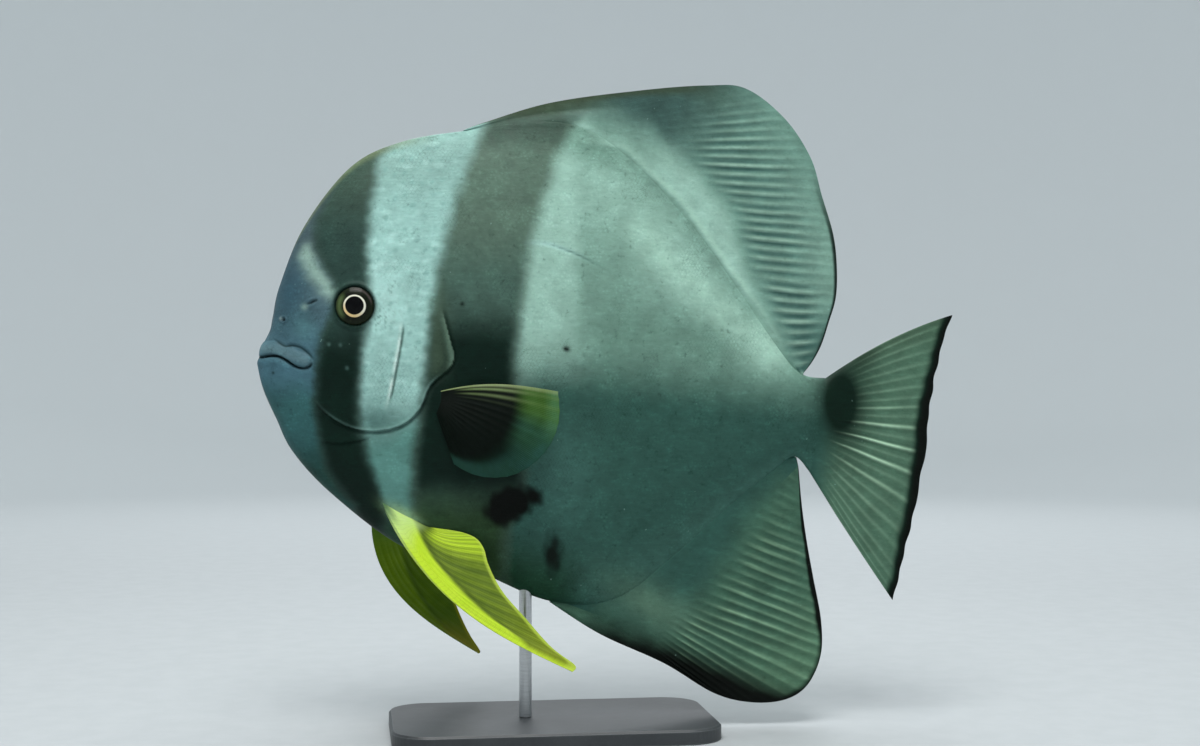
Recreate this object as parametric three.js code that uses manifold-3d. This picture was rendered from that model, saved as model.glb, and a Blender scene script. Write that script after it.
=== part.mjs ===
// Longfin batfish, a life-size still model held over a flat base by one rod.
// Units are millimetres. The fish is laid out in its own frame: the tip of the snout is at 0,
// x runs to the tail, y to the fish's right side and z up. One group then lifts it over the base.

import * as THREE from "three";
import Module from "manifold-3d";

const wasm = await Module();
wasm.setup();

// Stand and place of the fish over it
const SNOUT_HEIGHT = 267;
const SNOUT_AHEAD = 205;
const BASE_LENGTH = 230;
const BASE_WIDTH = 130;
const BASE_THICKNESS = 10;
const BASE_CORNER = 26;
const BASE_BEVEL = 1.5;
const ROD_RADIUS = 4.5;
const ROD_X = 186;
const ROD_TOP = -152;
const GAP = 0.3;

// The whole body swings gently to its left behind this x, most at the end of the tail
const SWING = -12;
const SWING_FROM = 250;
const SWING_LENGTH = 250;

// Outline of the body: a station is one point on the back, one on the belly and the half width between
const BACK = [
  [0, 0.7], [2.8, 9.8], [6.9, 18.9], [8.6, 28], [13.4, 49.7], [30.5, 91.5], [62, 132.6], [96, 150.8],
  [141, 159.8], [210.8, 166.2], [254.2, 146.2], [301.6, 98.6], [338.2, 49.7], [368.6, 5.6], [387, -12.6],
  [404.8, -15.6],
];
const BELLY = [
  [0, -0.7], [-1.4, -7], [-0.3, -15.4], [3.1, -26.6], [10.7, -43.4], [22.4, -67.2], [49.4, -96.9],
  [97, -133.4], [146.4, -150.4], [203.6, -174.8], [250.6, -172.8], [292.1, -143.2], [330.9, -109.6],
  [366.5, -81.5], [381.8, -72.6], [392.5, -83.2],
];
const HALF_WIDTH = [0, 6.5, 10, 12.5, 16.5, 22, 28, 33, 33.5, 31, 27, 21, 16, 12, 9.5, 6];
const LAST_STATION = BACK.length - 1;

// Where the fins stand on the edge of the body, the edge is flat, this wide each side
const DORSAL_FROM = 8;
const ANAL_FROM = 9;
const EDGE_FRONT = 4.6;
const EDGE_REAR = 3;
const EDGE_RISE = 0.8;

// Dorsal and anal fin: where each ray ends on the margin, after the station that it springs from
const DORSAL = [
  [8, 144, 161.4], [8.3, 201, 180.5], [8.6, 268, 191.3], [8.9, 318, 196], [9.15, 346.5, 194],
  [9.5, 374.5, 173], [10, 393.5, 145], [10.5, 402, 117], [11, 410.3, 89], [11.5, 413, 65],
  [12, 412.2, 43], [12.5, 407, 25], [13, 401.5, 8.5], [13.5, 395, -3.4], [14, 387.8, -12.4],
];
const ANAL = [
  [9, 202, -176.4], [9.2, 239.7, -199.2], [9.4, 286, -221], [9.6, 322, -243], [9.8, 349, -250.4],
  [10, 374, -249.2], [10.15, 391, -239], [10.35, 401, -217.5], [10.9, 401.4, -192], [11.5, 395.5, -160],
  [12, 391, -135], [12.5, 387.7, -112], [13, 385.8, -93], [13.5, 384.8, -81], [14, 383.2, -73.2],
];
// Caudal fin: the trailing edge from the upper tip to the lower one, and how far its outer rays bow
const CAUDAL = [
  [497.1, 30.5], [491.9, 13], [486.8, -8.2], [482.4, -28], [480.2, -46.2], [478.7, -66.7], [475, -85.6],
  [469.9, -110.4], [464, -137.4], [457.4, -164.4], [454.1, -177.5],
];
const CAUDAL_BOW = [4.5, 1];

// Rays, and the thickness of the membrane between them, as half of the whole
const DORSAL_RAYS = 32;
const ANAL_RAYS = 25;
const CAUDAL_RAYS = 17;
const PECTORAL_RAYS = 11;
const PELVIC_RAYS = 6;
const MEMBRANE = 0.45;
const RAY_RIDGE = 0.6;

// Pectoral fin: root on the flank, length and fall of the rays, and how far the fin stands off the flank
const PECTORAL_ROOT = [[124, -24.5], [121.3, -38.8]];
const PECTORAL_LENGTH = [84, 87, 84, 74, 58, 38];
const PECTORAL_FALL = [0, 12, 25, 40, 55, 72];
const PECTORAL_SPREAD = 24;

// Pelvic fins: root on the lower flank, margin from the tip to the end of the inner ray, bow of the spine,
// and how far out the tip stands. The right one is held lower and further out
const PELVIC_LEFT = {
  root: [[84, -102], [115, -119.5]],
  margin: [
    [213.5, -217.5], [215, -213], [199.5, -201.1], [181.5, -180.9], [164.6, -163.3], [155.5, -145],
    [148.1, -126.8],
  ],
  bow: 18.5,
  rise: 0.9,
  out: 50,
};
const PELVIC_RIGHT = {
  root: [[80, -101], [112, -121]],
  margin: [
    [160.2, -227.4], [160.8, -224.6], [152, -210], [143, -191], [137, -174], [135, -157],
    [134, -142],
  ],
  bow: 25,
  rise: 0.8,
  out: 106,
};

// Head: eye, gill cover, mouth and nostrils
const EYE = { x: 64.3, z: 35, radius: 13, dome: 3.4, depth: 9, proud: 0.6, yaw: 6 };
const ORBIT_RIM = 1.9;
const GILL_COVER = [
  [109, 178], [112.7, 159.8], [118.2, 121.8], [121.6, 80.3], [124.4, 45.7], [127.2, 27], [131.3, 11],
  [134.5, -1.5], [129.9, -9.1], [122.3, -13.3], [116.8, -18.8], [112.7, -27.8], [107.8, -36.1], [98.9, -45.8],
  [87.9, -51.2], [74.2, -53.9], [58.5, -58], [41.5, -60], [11.7, -62.6], [-12, -64],
];
const GILL_RELIEF = 1.7;
const GILL_RELIEF_WIDTH = 13;
const PREOPERCLE = [[97, 30], [95.5, 23.4], [92.7, 0.6], [86.5, -25], [79.7, -38.8]];
const MOUTH = [[1.9, -0.3], [8.1, -0.8], [13.9, -1.4], [18, -3.4], [22.1, -6], [25.5, -8.4], [28, -9.2]];
const MOUTH_FRONT = [-0.6, 0, -0.2];
const MOUTH_RADIUS = 1.1;
const UPPER_LIP = [[4, 4.2], [8.4, 3.2], [14.5, 1.8], [20, -0.8], [25, -3.6], [29.4, -5.2], [31.5, -5.6]];
const UPPER_LIP_FRONT = [2.2, 0, 4.4];
const UPPER_LIP_RADIUS = 3.6;
const LOWER_LIP = [[2.6, -3.5], [7, -3.9], [12.5, -4.6], [17, -6.8], [20.5, -9.2]];
const LOWER_LIP_FRONT = [1, 0, -3.4];
const LOWER_LIP_RADIUS = 2.2;
const LIP_END_RADIUS = 0.2;
const FOLD_RADIUS = 1.1;
const NOSTRIL_FRONT = [15.8, 24.7];
const NOSTRIL_REAR = [[30.7, 34.4], [38.4, 38.9]];
const NOSTRIL_RADIUS = 1.2;
const NOSTRIL_LIP = 0.7;

// Where the tail is parted from the torso, and the size of the blocks that part the body
const TAIL_CUT = 362;
const PRISM_WIDTH = 200;
const PRISM_HALF_HEIGHT = 300;
const PRISM_FRONT = -50;
const PRISM_REAR = 600;

const smooth = THREE.MathUtils.smoothstep;
const lerp = THREE.MathUtils.lerp;

function swing(x) {
  const t = Math.max(0, (x - SWING_FROM) / SWING_LENGTH);
  return SWING * t * t;
}

function place(x, y, z) {
  return new THREE.Vector3(x, y + swing(x), z);
}

// A smooth line through points of the side view, read by the number of the point
function track(points) {
  const curve = new THREE.SplineCurve(points.map(([x, z]) => new THREE.Vector2(x, z)));
  return (s) => curve.getPoint(THREE.MathUtils.clamp(s / (points.length - 1), 0, 1));
}

// A smooth run of single numbers
function run(values) {
  const line = track(values.map((value, i) => [i, value]));
  return (s) => line(s).y;
}

const back = track(BACK);
const belly = track(BELLY);
const halfWidth = run(HALF_WIDTH);
const gillLine = track(GILL_COVER);

function edgeWidth(s, from) {
  const rise = smooth(s, from, from + EDGE_RISE);
  return rise * lerp(EDGE_FRONT, EDGE_REAR, smooth(s, from, LAST_STATION - 1));
}

// Gill cover: the head swells towards its rear edge
const GILL_SAMPLES = Array.from({ length: 80 }, (_, i) => gillLine((i / 79) * (GILL_COVER.length - 1)));

function gillDistance(x, z) {
  return Math.min(...GILL_SAMPLES.map((p) => Math.hypot(p.x - x, p.y - z)));
}

function gillSwell(x, z) {
  const high = 1 - smooth(z, 10, 60);
  const front = smooth(x, 20, 60);
  return GILL_RELIEF * high * front * Math.exp(-((gillDistance(x, z) / GILL_RELIEF_WIDTH) ** 2));
}

// Half thickness of the body at station s, with v from 0 on the back to 1 on the belly
function flankWidth(s, v) {
  const upper = edgeWidth(s, DORSAL_FROM);
  const lower = edgeWidth(s, ANAL_FROM);
  const edge = lerp(upper, lower, smooth(v, 0.2, 0.8));
  const upperPower = 1 + 0.7 * smooth(s, DORSAL_FROM - 1.5, DORSAL_FROM + 1.5);
  const lowerPower = 1 + 0.7 * smooth(s, ANAL_FROM - 1, ANAL_FROM + 1.5);
  const power = lerp(upperPower, lowerPower, smooth(v, 0.2, 0.8));
  const round = Math.sqrt(Math.max(0, 1 - (1 - 2 * v) ** 2));
  return edge + (halfWidth(s) - edge) * round ** power;
}

// Closed body of triangles from corners, with doubled corners joined and empty triangles dropped
function solidFrom(corners, triangles) {
  const known = new Map();
  const vertices = [];
  const merged = corners.map((p) => {
    const key = [p.x, p.y, p.z].map((value) => Math.round(value * 1000)).join();
    if (!known.has(key)) {
      known.set(key, vertices.length / 3);
      vertices.push(p.x, p.y, p.z);
    }
    return known.get(key);
  });
  let kept = triangles.map((t) => t.map((i) => merged[i]));
  kept = kept.filter(([a, b, c]) => a !== b && b !== c && c !== a);
  const build = (list) =>
    new wasm.Manifold(
      new wasm.Mesh({
        numProp: 3,
        vertProperties: new Float32Array(vertices),
        triVerts: new Uint32Array(list.flat()),
      }),
    );
  const solid = build(kept);
  return solid.volume() > 0 ? solid : build(kept.map(([a, b, c]) => [a, c, b]));
}

// Closed solid from rings of corners: the rings are joined in turn and the two ends closed
function loft(rings, caps) {
  const count = rings[0].length;
  const corners = rings.flat();
  const triangles = [];
  for (let i = 0; i + 1 < rings.length; i++) {
    for (let j = 0; j < count; j++) {
      const a = i * count + j;
      const b = i * count + ((j + 1) % count);
      triangles.push([a, b, a + count], [b, b + count, a + count]);
    }
  }
  const last = (rings.length - 1) * count;
  for (const [a, b, c] of caps) {
    triangles.push([a, c, b], [last + a, last + b, last + c]);
  }
  return solidFrom(corners, triangles);
}

// Triangles between the left and the right half of a body ring
function ringCaps(steps) {
  const caps = [];
  for (let j = 0; j < steps; j++) {
    const right = 2 * steps + 1 - j;
    caps.push([j, j + 1, right], [j + 1, right - 1, right]);
  }
  return caps;
}

// The body between two stations, grown on all sides by a margin
function bodySolid(from, to, ringsPerStation, steps, grow) {
  const ringCount = Math.round((to - from) * ringsPerStation);
  const rings = [];
  for (let i = 0; i <= ringCount; i++) {
    const s = lerp(from, to, i / ringCount);
    const top = back(s);
    const bottom = belly(s);
    const across = bottom.clone().sub(top).normalize();
    const left = [];
    const right = [];
    for (let j = 0; j <= steps; j++) {
      const v = (1 - Math.cos((Math.PI * j) / steps)) / 2;
      const p = top.clone().lerp(bottom, v).addScaledVector(across, grow * (2 * v - 1));
      const half = flankWidth(s, v) + gillSwell(p.x, p.y) * Math.sin(Math.PI * v) + grow;
      left.push(place(p.x, -half, p.y));
      right.push(place(p.x, half, p.y));
    }
    rings.push([...left, ...right.reverse()]);
  }
  if (grow > 0) {
    const ahead = new THREE.Vector3(grow, 0, 0);
    rings.push(rings[ringCount].map((p) => p.clone().add(ahead)));
  }
  return loft(rings, ringCaps(steps));
}

// Station and place across the body of a point in the side view
function stationAt(x, z) {
  let low = 0;
  let high = LAST_STATION;
  for (let i = 0; i < 40; i++) {
    const s = (low + high) / 2;
    const top = back(s);
    const span = belly(s).sub(top);
    const ahead = span.x * (z - top.y) - span.y * (x - top.x);
    if (ahead > 0) low = s;
    else high = s;
  }
  const top = back(low);
  const span = belly(low).sub(top);
  const v = ((x - top.x) * span.x + (z - top.y) * span.y) / span.lengthSq();
  return [low, THREE.MathUtils.clamp(v, 0, 1)];
}

// Half thickness of the flank at a point in the side view
function flankAt(x, z) {
  const [s, v] = stationAt(x, z);
  return flankWidth(s, v) + gillSwell(x, z) * Math.sin(Math.PI * v);
}

// Prism through the whole width of the fish, from an outline in the side view
function sidePrism(points) {
  const shape = new THREE.Shape(points.map(([x, z]) => new THREE.Vector2(x, z)));
  const prism = new THREE.ExtrudeGeometry(shape, { depth: PRISM_WIDTH, bevelEnabled: false, steps: 1 });
  prism.rotateX(Math.PI / 2);
  prism.translate(0, PRISM_WIDTH / 2, 0);
  return fromGeometry(prism);
}

function fromGeometry(geometry) {
  const position = geometry.getAttribute("position");
  const index = geometry.index ? [...geometry.index.array] : [...Array(position.count).keys()];
  const corners = [];
  for (let i = 0; i < position.count; i++) {
    corners.push(new THREE.Vector3().fromBufferAttribute(position, i));
  }
  const triangles = [];
  for (let i = 0; i < index.length; i += 3) {
    triangles.push(index.slice(i, i + 3));
  }
  return solidFrom(corners, triangles);
}

function largest(solid) {
  return solid.decompose().reduce((a, b) => (a.volume() > b.volume() ? a : b));
}

// Line of the gill opening, moved by half the gap to the side of the head or of the torso
function gillEdge(side) {
  const steps = 70;
  const points = [];
  for (let i = 0; i <= steps; i++) {
    const s = (i / steps) * (GILL_COVER.length - 1);
    const ahead = gillLine(s + 0.01).sub(gillLine(s - 0.01)).normalize();
    const p = gillLine(s);
    points.push([p.x + ahead.y * side * (GAP / 2), p.y - ahead.x * side * (GAP / 2)]);
  }
  return points;
}

function headPrism(side) {
  const edge = gillEdge(side);
  return sidePrism([...edge, [PRISM_FRONT, edge[edge.length - 1][1]], [PRISM_FRONT, edge[0][1]]]);
}

// Tapered round bar along points in space, closed at both ends
function bar(points, radiusAt, steps, sides) {
  const curve = new THREE.CatmullRomCurve3(points);
  const frames = curve.computeFrenetFrames(steps, false);
  const rings = [];
  for (let i = 0; i <= steps; i++) {
    const centre = curve.getPointAt(i / steps);
    const ring = [];
    for (let j = 0; j < sides; j++) {
      const angle = (2 * Math.PI * j) / sides;
      const out = frames.normals[i].clone().multiplyScalar(Math.cos(angle));
      out.addScaledVector(frames.binormals[i], Math.sin(angle));
      ring.push(centre.clone().addScaledVector(out, radiusAt(i / steps)));
    }
    rings.push(ring);
  }
  const caps = [];
  for (let j = 1; j + 1 < sides; j++) caps.push([0, j, j + 1]);
  return loft(rings, caps);
}

// Points on the left (-1) or right (+1) flank, sunk by a depth
function onFlank(points, side, sunk) {
  return points.map(([x, z]) => place(x, side * (flankAt(x, z) - sunk), z));
}

// Points from the left flank round the front of the snout to the right flank
function roundSnout(points, front, sunk) {
  return [...onFlank(points, -1, sunk).reverse(), place(...front), ...onFlank(points, 1, sunk)];
}

// Eye and its socket share one turned profile about the eye's own axis
function eyeLens(grow, open) {
  const { radius, dome, depth } = EYE;
  const r = radius + grow;
  const profile = [new THREE.Vector2(0, -depth - grow)];
  const backSteps = 3;
  const frontSteps = 4;
  for (let i = 1; i <= backSteps; i++) {
    const a = (Math.PI / 2) * (i / backSteps);
    profile.push(new THREE.Vector2(r * Math.sin(a), -(depth + grow) * Math.cos(a)));
  }
  if (open) {
    profile.push(new THREE.Vector2(r, 30), new THREE.Vector2(0, 30));
  } else {
    const ball = (radius * radius + dome * dome) / (2 * dome);
    const rim = Math.asin(radius / ball);
    for (let i = 1; i <= frontSteps; i++) {
      const a = rim * (1 - i / frontSteps);
      profile.push(new THREE.Vector2(ball * Math.sin(a), dome - ball * (1 - Math.cos(a))));
    }
  }
  profile[profile.length - 1].x = 0;
  return new THREE.LatheGeometry(profile, 22);
}

function eyePlace(geometry, side) {
  const { x, z, proud, yaw } = EYE;
  if (side < 0) geometry.rotateZ(Math.PI);
  geometry.rotateZ(side * THREE.MathUtils.degToRad(yaw));
  geometry.translate(x, side * (flankAt(x, z) - proud), z);
  return fromGeometry(geometry);
}

function eyeSolid(side) {
  return eyePlace(eyeLens(0, false), side);
}

// Head: body forward of the gill opening, with orbits, lips, mouth, nostrils and cheek fold
function headSolid() {
  let head = bodySolid(0, 8.6, 4, 24, 0).intersect(headPrism(1));
  const lipRadius = (radius, sharp) => (t) =>
    lerp(LIP_END_RADIUS, radius, Math.sqrt(1 - Math.abs(2 * t - 1) ** sharp));
  const upperLine = roundSnout(UPPER_LIP, UPPER_LIP_FRONT, 1.6);
  const lowerLine = roundSnout(LOWER_LIP, LOWER_LIP_FRONT, 1.2);
  head = head.add(bar(upperLine, lipRadius(UPPER_LIP_RADIUS, 14), 18, 7));
  head = head.add(bar(lowerLine, lipRadius(LOWER_LIP_RADIUS, 5), 12, 6));
  for (const side of [-1, 1]) {
    const rim = new THREE.TorusGeometry(EYE.radius + GAP + ORBIT_RIM / 2, ORBIT_RIM, 6, 20);
    rim.rotateX(Math.PI / 2);
    head = head.add(eyePlace(rim, side));
  }
  head = head.subtract(bar(roundSnout(MOUTH, MOUTH_FRONT, 0), () => MOUTH_RADIUS, 14, 4));
  for (const side of [-1, 1]) {
    head = head.subtract(eyePlace(eyeLens(GAP, true), side));
    head = head.subtract(bar(onFlank(PREOPERCLE, side, 0), () => FOLD_RADIUS, 8, 4));
    head = head.subtract(bar(onFlank(NOSTRIL_REAR, side, 0.2), () => NOSTRIL_RADIUS, 2, 5));
    const [x, z] = NOSTRIL_FRONT;
    const y = side * (flankAt(x, z) - 0.3);
    const lip = new THREE.SphereGeometry(NOSTRIL_RADIUS + NOSTRIL_LIP, 9, 6);
    const pit = new THREE.SphereGeometry(NOSTRIL_RADIUS, 8, 5);
    head = head.add(fromGeometry(lip.translate(x, y, z)));
    head = head.subtract(fromGeometry(pit.translate(x - 0.8, y + side * 1.4, z)));
  }
  return largest(head);
}

// Fin as one closed sheet. Columns follow the rays (u), rows run from root to margin (t).
// The sheet is as thick as half(u, t) each side of its middle, with a ridge on every other column.
function finSheet(rays, rows, rowsFrom, point, normal, half) {
  const columns = rays * 2;
  const corners = [];
  const width = rows + 1;
  const face = (columns + 1) * width;
  for (const side of [1, -1]) {
    for (let c = 0; c <= columns; c++) {
      for (let r = 0; r <= rows; r++) {
        const u = c / columns;
        const t = rowsFrom + (1 - rowsFrom) * (r / rows);
        const ridge = c % 2 ? RAY_RIDGE * smooth(t, 0.12, 0.4) * (1 - 0.6 * t) : 0;
        corners.push(point(u, t).addScaledVector(normal, side * (half(u, t) + ridge)));
      }
    }
  }
  const triangles = [];
  for (let c = 0; c < columns; c++) {
    for (let r = 0; r < rows; r++) {
      const a = c * width + r;
      triangles.push([a, a + width, a + 1], [a + width, a + width + 1, a + 1]);
      triangles.push([face + a, face + a + 1, face + a + width]);
      triangles.push([face + a + width, face + a + 1, face + a + width + 1]);
    }
    const root = c * width;
    const tip = root + rows;
    triangles.push([root, face + root, root + width], [face + root, face + root + width, root + width]);
    triangles.push([tip, tip + width, face + tip], [face + tip, tip + width, face + tip + width]);
  }
  for (let r = 0; r < rows; r++) {
    const first = r;
    const last = columns * width + r;
    triangles.push([first, first + 1, face + first], [face + first, first + 1, face + first + 1]);
    triangles.push([last, face + last, last + 1], [face + last, face + last + 1, last + 1]);
  }
  return solidFrom(corners, triangles);
}

// Parameters of a track at even steps of the way between root and margin
function evenSteps(middle, count) {
  const samples = 400;
  const lengths = [0];
  for (let i = 1; i <= samples; i++) {
    lengths.push(lengths[i - 1] + middle(i / samples).distanceTo(middle((i - 1) / samples)));
  }
  return (u) => {
    const want = THREE.MathUtils.clamp(u, 0, 1) * lengths[samples];
    const i = Math.max(1, lengths.findIndex((value) => value >= want));
    return (i - 1 + (want - lengths[i - 1]) / (lengths[i] - lengths[i - 1])) / samples;
  };
}

// Dorsal or anal fin, rooted in the edge of the body
function medianFin(margin, edge, from, rays) {
  const stations = run(margin.map((m) => m[0]));
  const end = track(margin.map((m) => [m[1], m[2]]));
  const last = margin.length - 1;
  const even = evenSteps((u) => end(u * last).lerp(edge(stations(u * last)), 0.4), rays * 2);
  const point = (u, t) => {
    const k = even(u) * last;
    const root = edge(stations(k));
    const tip = end(k);
    const length = Math.max(1, root.distanceTo(tip));
    const along = t < 0 ? (t * 3 * Math.max(20, length)) / length : t;
    const p = root.lerp(tip, along);
    return place(p.x, 0, p.y);
  };
  const half = (u, t) => {
    const rootHalf = Math.max(MEMBRANE, edgeWidth(stations(even(u) * last), from));
    const out = THREE.MathUtils.clamp(t, 0, 1);
    const thick = lerp(rootHalf, 1.1, smooth(out, 0, 0.45));
    return lerp(thick, MEMBRANE, smooth(out, 0.3, 1));
  };
  return finSheet(rays, 6, -0.06, point, new THREE.Vector3(0, 1, 0), half);
}

function caudalFin() {
  const end = track(CAUDAL);
  const top = back(LAST_STATION);
  const bottom = belly(LAST_STATION);
  const point = (u, t) => {
    const root = top.clone().lerp(bottom, u);
    const p = root.clone().lerp(end(u * (CAUDAL.length - 1)), t);
    const outer = (1 - 2 * u) * Math.abs(1 - 2 * u);
    const bow = CAUDAL_BOW[u < 0.5 ? 0 : 1] * outer * 4 * t * (1 - t);
    return place(p.x, 0, p.y + (t > 0 ? bow : 0));
  };
  const half = (u, t) => {
    const out = THREE.MathUtils.clamp(t, 0, 1);
    const thick = lerp(flankWidth(LAST_STATION, u), 1.2, smooth(out, 0, 0.4));
    return lerp(thick, MEMBRANE, smooth(out, 0.3, 1));
  };
  return finSheet(CAUDAL_RAYS, 6, -0.05, point, new THREE.Vector3(0, 1, 0), half);
}

function pectoralFin(side) {
  const [upper, lower] = PECTORAL_ROOT;
  const length = run(PECTORAL_LENGTH);
  const fall = run(PECTORAL_FALL);
  const last = PECTORAL_LENGTH.length - 1;
  const spread = THREE.MathUtils.degToRad(PECTORAL_SPREAD);
  const outward = new THREE.Vector3(Math.cos(spread), side * Math.sin(spread), 0);
  const normal = new THREE.Vector3(-Math.sin(spread), side * Math.cos(spread), 0);
  const point = (u, t) => {
    const x = lerp(upper[0], lower[0], u);
    const z = lerp(upper[1], lower[1], u);
    const p = place(x, side * (flankAt(x, z) - 1), z);
    const angle = THREE.MathUtils.degToRad(fall(u * last));
    const reach = length(u * last) * t;
    p.addScaledVector(outward, Math.cos(angle) * reach);
    p.z -= Math.sin(angle) * reach;
    p.addScaledVector(normal, -3 * t * t);
    return p;
  };
  const half = (u, t) => lerp(1.8, MEMBRANE, smooth(Math.max(0, t), 0, 0.5));
  return finSheet(PECTORAL_RAYS, 6, -0.07, point, normal, half);
}

function pelvicFin(side, pose) {
  const [front, rear] = pose.root;
  const margin = track(pose.margin);
  const last = pose.margin.length - 1;
  const normal = new THREE.Vector3(0.25, side, 0.15).normalize();
  const point = (u, t) => {
    const root = new THREE.Vector2(...front).lerp(new THREE.Vector2(...rear), u);
    const tip = margin(u * last);
    const along = tip.clone().sub(root);
    const p = root.clone().addScaledVector(along, t);
    const bow = t > 0 ? pose.bow * Math.sin(Math.PI * t ** pose.rise) * (1 - u) : 0;
    const square = new THREE.Vector2(along.y, -along.x).normalize();
    p.addScaledVector(square, bow);
    const reach = along.length() / new THREE.Vector2(...front).distanceTo(margin(0));
    const rootOut = flankAt(root.x, root.y) - 1.5;
    const y = rootOut + (pose.out - rootOut) * reach * t;
    return place(p.x, side * y, p.y);
  };
  const half = (u, t) => {
    const spine = 1 + 1.3 * Math.exp(-((u * 6) ** 2));
    return spine * lerp(1.6, MEMBRANE, smooth(Math.max(0, t), 0, 0.6));
  };
  return finSheet(PELVIC_RAYS, 9, -0.05, point, normal, half);
}

// Stand
function roundedPlate(length, width, corner) {
  const x = length / 2;
  const y = width / 2;
  const shape = new THREE.Shape();
  shape.moveTo(-x + corner, -y);
  shape.lineTo(x - corner, -y);
  shape.absarc(x - corner, -y + corner, corner, -Math.PI / 2, 0);
  shape.lineTo(x, y - corner);
  shape.absarc(x - corner, y - corner, corner, 0, Math.PI / 2);
  shape.lineTo(-x + corner, y);
  shape.absarc(-x + corner, y - corner, corner, Math.PI / 2, Math.PI);
  shape.lineTo(-x, -y + corner);
  shape.absarc(-x + corner, -y + corner, corner, Math.PI, 1.5 * Math.PI);
  return shape;
}

function standBase() {
  const outline = roundedPlate(BASE_LENGTH - 2 * BASE_BEVEL, BASE_WIDTH - 2 * BASE_BEVEL, BASE_CORNER);
  const plate = new THREE.ExtrudeGeometry(outline, {
    depth: BASE_THICKNESS - BASE_BEVEL,
    bevelThickness: BASE_BEVEL,
    bevelSize: BASE_BEVEL,
    bevelSegments: 1,
    curveSegments: 6,
  });
  const solid = fromGeometry(plate);
  const below = new THREE.BoxGeometry(2 * BASE_LENGTH, 2 * BASE_WIDTH, BASE_THICKNESS);
  return solid.subtract(fromGeometry(below.translate(0, 0, -BASE_THICKNESS / 2)));
}

function uprightRod(radius, bottom, top) {
  const rod = new THREE.CylinderGeometry(radius, radius, top - bottom, 16);
  rod.rotateX(Math.PI / 2);
  return rod.translate(0, 0, (top + bottom) / 2);
}

const grownBody = bodySolid(0, LAST_STATION, 3, 20, GAP);
const body = bodySolid(4, LAST_STATION, 3, 20, 0);
const fish = new THREE.Group();
fish.position.set(-SNOUT_AHEAD, 0, SNOUT_HEIGHT);
const model = new THREE.Group();
model.add(fish);

function addMesh(parent, name, solid, color, roughness, metalness = 0) {
  const { vertProperties, triVerts } = solid.getMesh();
  const geometry = new THREE.BufferGeometry();
  geometry.setAttribute("position", new THREE.BufferAttribute(vertProperties, 3));
  geometry.setIndex(new THREE.BufferAttribute(triVerts, 1));
  geometry.computeVertexNormals();
  const mesh = new THREE.Mesh(geometry, new THREE.MeshStandardMaterial({ color, roughness, metalness }));
  mesh.name = name;
  parent.add(mesh);
}

const rodHole = fromGeometry(uprightRod(ROD_RADIUS + GAP, -240, ROD_TOP + GAP).translate(ROD_X, 0, 0));
const block = (x1, x2) => {
  const z = PRISM_HALF_HEIGHT;
  return sidePrism([[x1, -z], [x2, -z], [x2, z], [x1, z]]);
};
const beforeTail = block(PRISM_FRONT, TAIL_CUT - GAP / 2);
const behindTail = block(TAIL_CUT + GAP / 2, PRISM_REAR);
const torso = body.subtract(headPrism(-1)).intersect(beforeTail).subtract(rodHole);

addMesh(fish, "head", headSolid(), 0x6f8f88, 0.5);
addMesh(fish, "torso", largest(torso), 0x7f9f92, 0.5);
addMesh(fish, "tail", largest(body.intersect(behindTail)), 0x6c8a7c, 0.5);
const trimmed = (fin) => largest(fin.subtract(grownBody));
addMesh(fish, "fin_dorsal", trimmed(medianFin(DORSAL, back, DORSAL_FROM, DORSAL_RAYS)), 0x58796c, 0.55);
addMesh(fish, "fin_anal", trimmed(medianFin(ANAL, belly, ANAL_FROM, ANAL_RAYS)), 0x4d6e5c, 0.55);
addMesh(fish, "fin_caudal", trimmed(caudalFin()), 0x5d7c6b, 0.55);
addMesh(fish, "fin_pectoral_left", trimmed(pectoralFin(-1)), 0x5a6d2a, 0.5);
addMesh(fish, "fin_pectoral_right", trimmed(pectoralFin(1)), 0x5a6d2a, 0.5);
addMesh(fish, "fin_pelvic_left", trimmed(pelvicFin(-1, PELVIC_LEFT)), 0xb9cf2c, 0.5);
addMesh(fish, "fin_pelvic_right", trimmed(pelvicFin(1, PELVIC_RIGHT)), 0xb9cf2c, 0.5);
addMesh(fish, "eye_left", eyeSolid(-1), 0x14180f, 0.15);
addMesh(fish, "eye_right", eyeSolid(1), 0x14180f, 0.15);

addMesh(model, "stand_base", standBase(), 0x33363a, 0.45);
const rodBottom = BASE_THICKNESS + GAP;
const rodTop = SNOUT_HEIGHT + ROD_TOP;
const rod = uprightRod(ROD_RADIUS, rodBottom, rodTop).translate(ROD_X - SNOUT_AHEAD, 0, 0);
addMesh(model, "stand_rod", fromGeometry(rod), 0xb8bcc0, 0.3, 0.9);

export default model;
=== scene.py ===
"""Longfin batfish: a life-size still model on a display stand.

The fish is laid out in millimetres in its own frame, with the tip of the snout at 0, x to the tail, y to
the fish's right side and z up, and set over the base in metres. Its skin is one closed surface over body and
median fins. Paired fins and eyes are pieces of their own.
"""

import math

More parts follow.
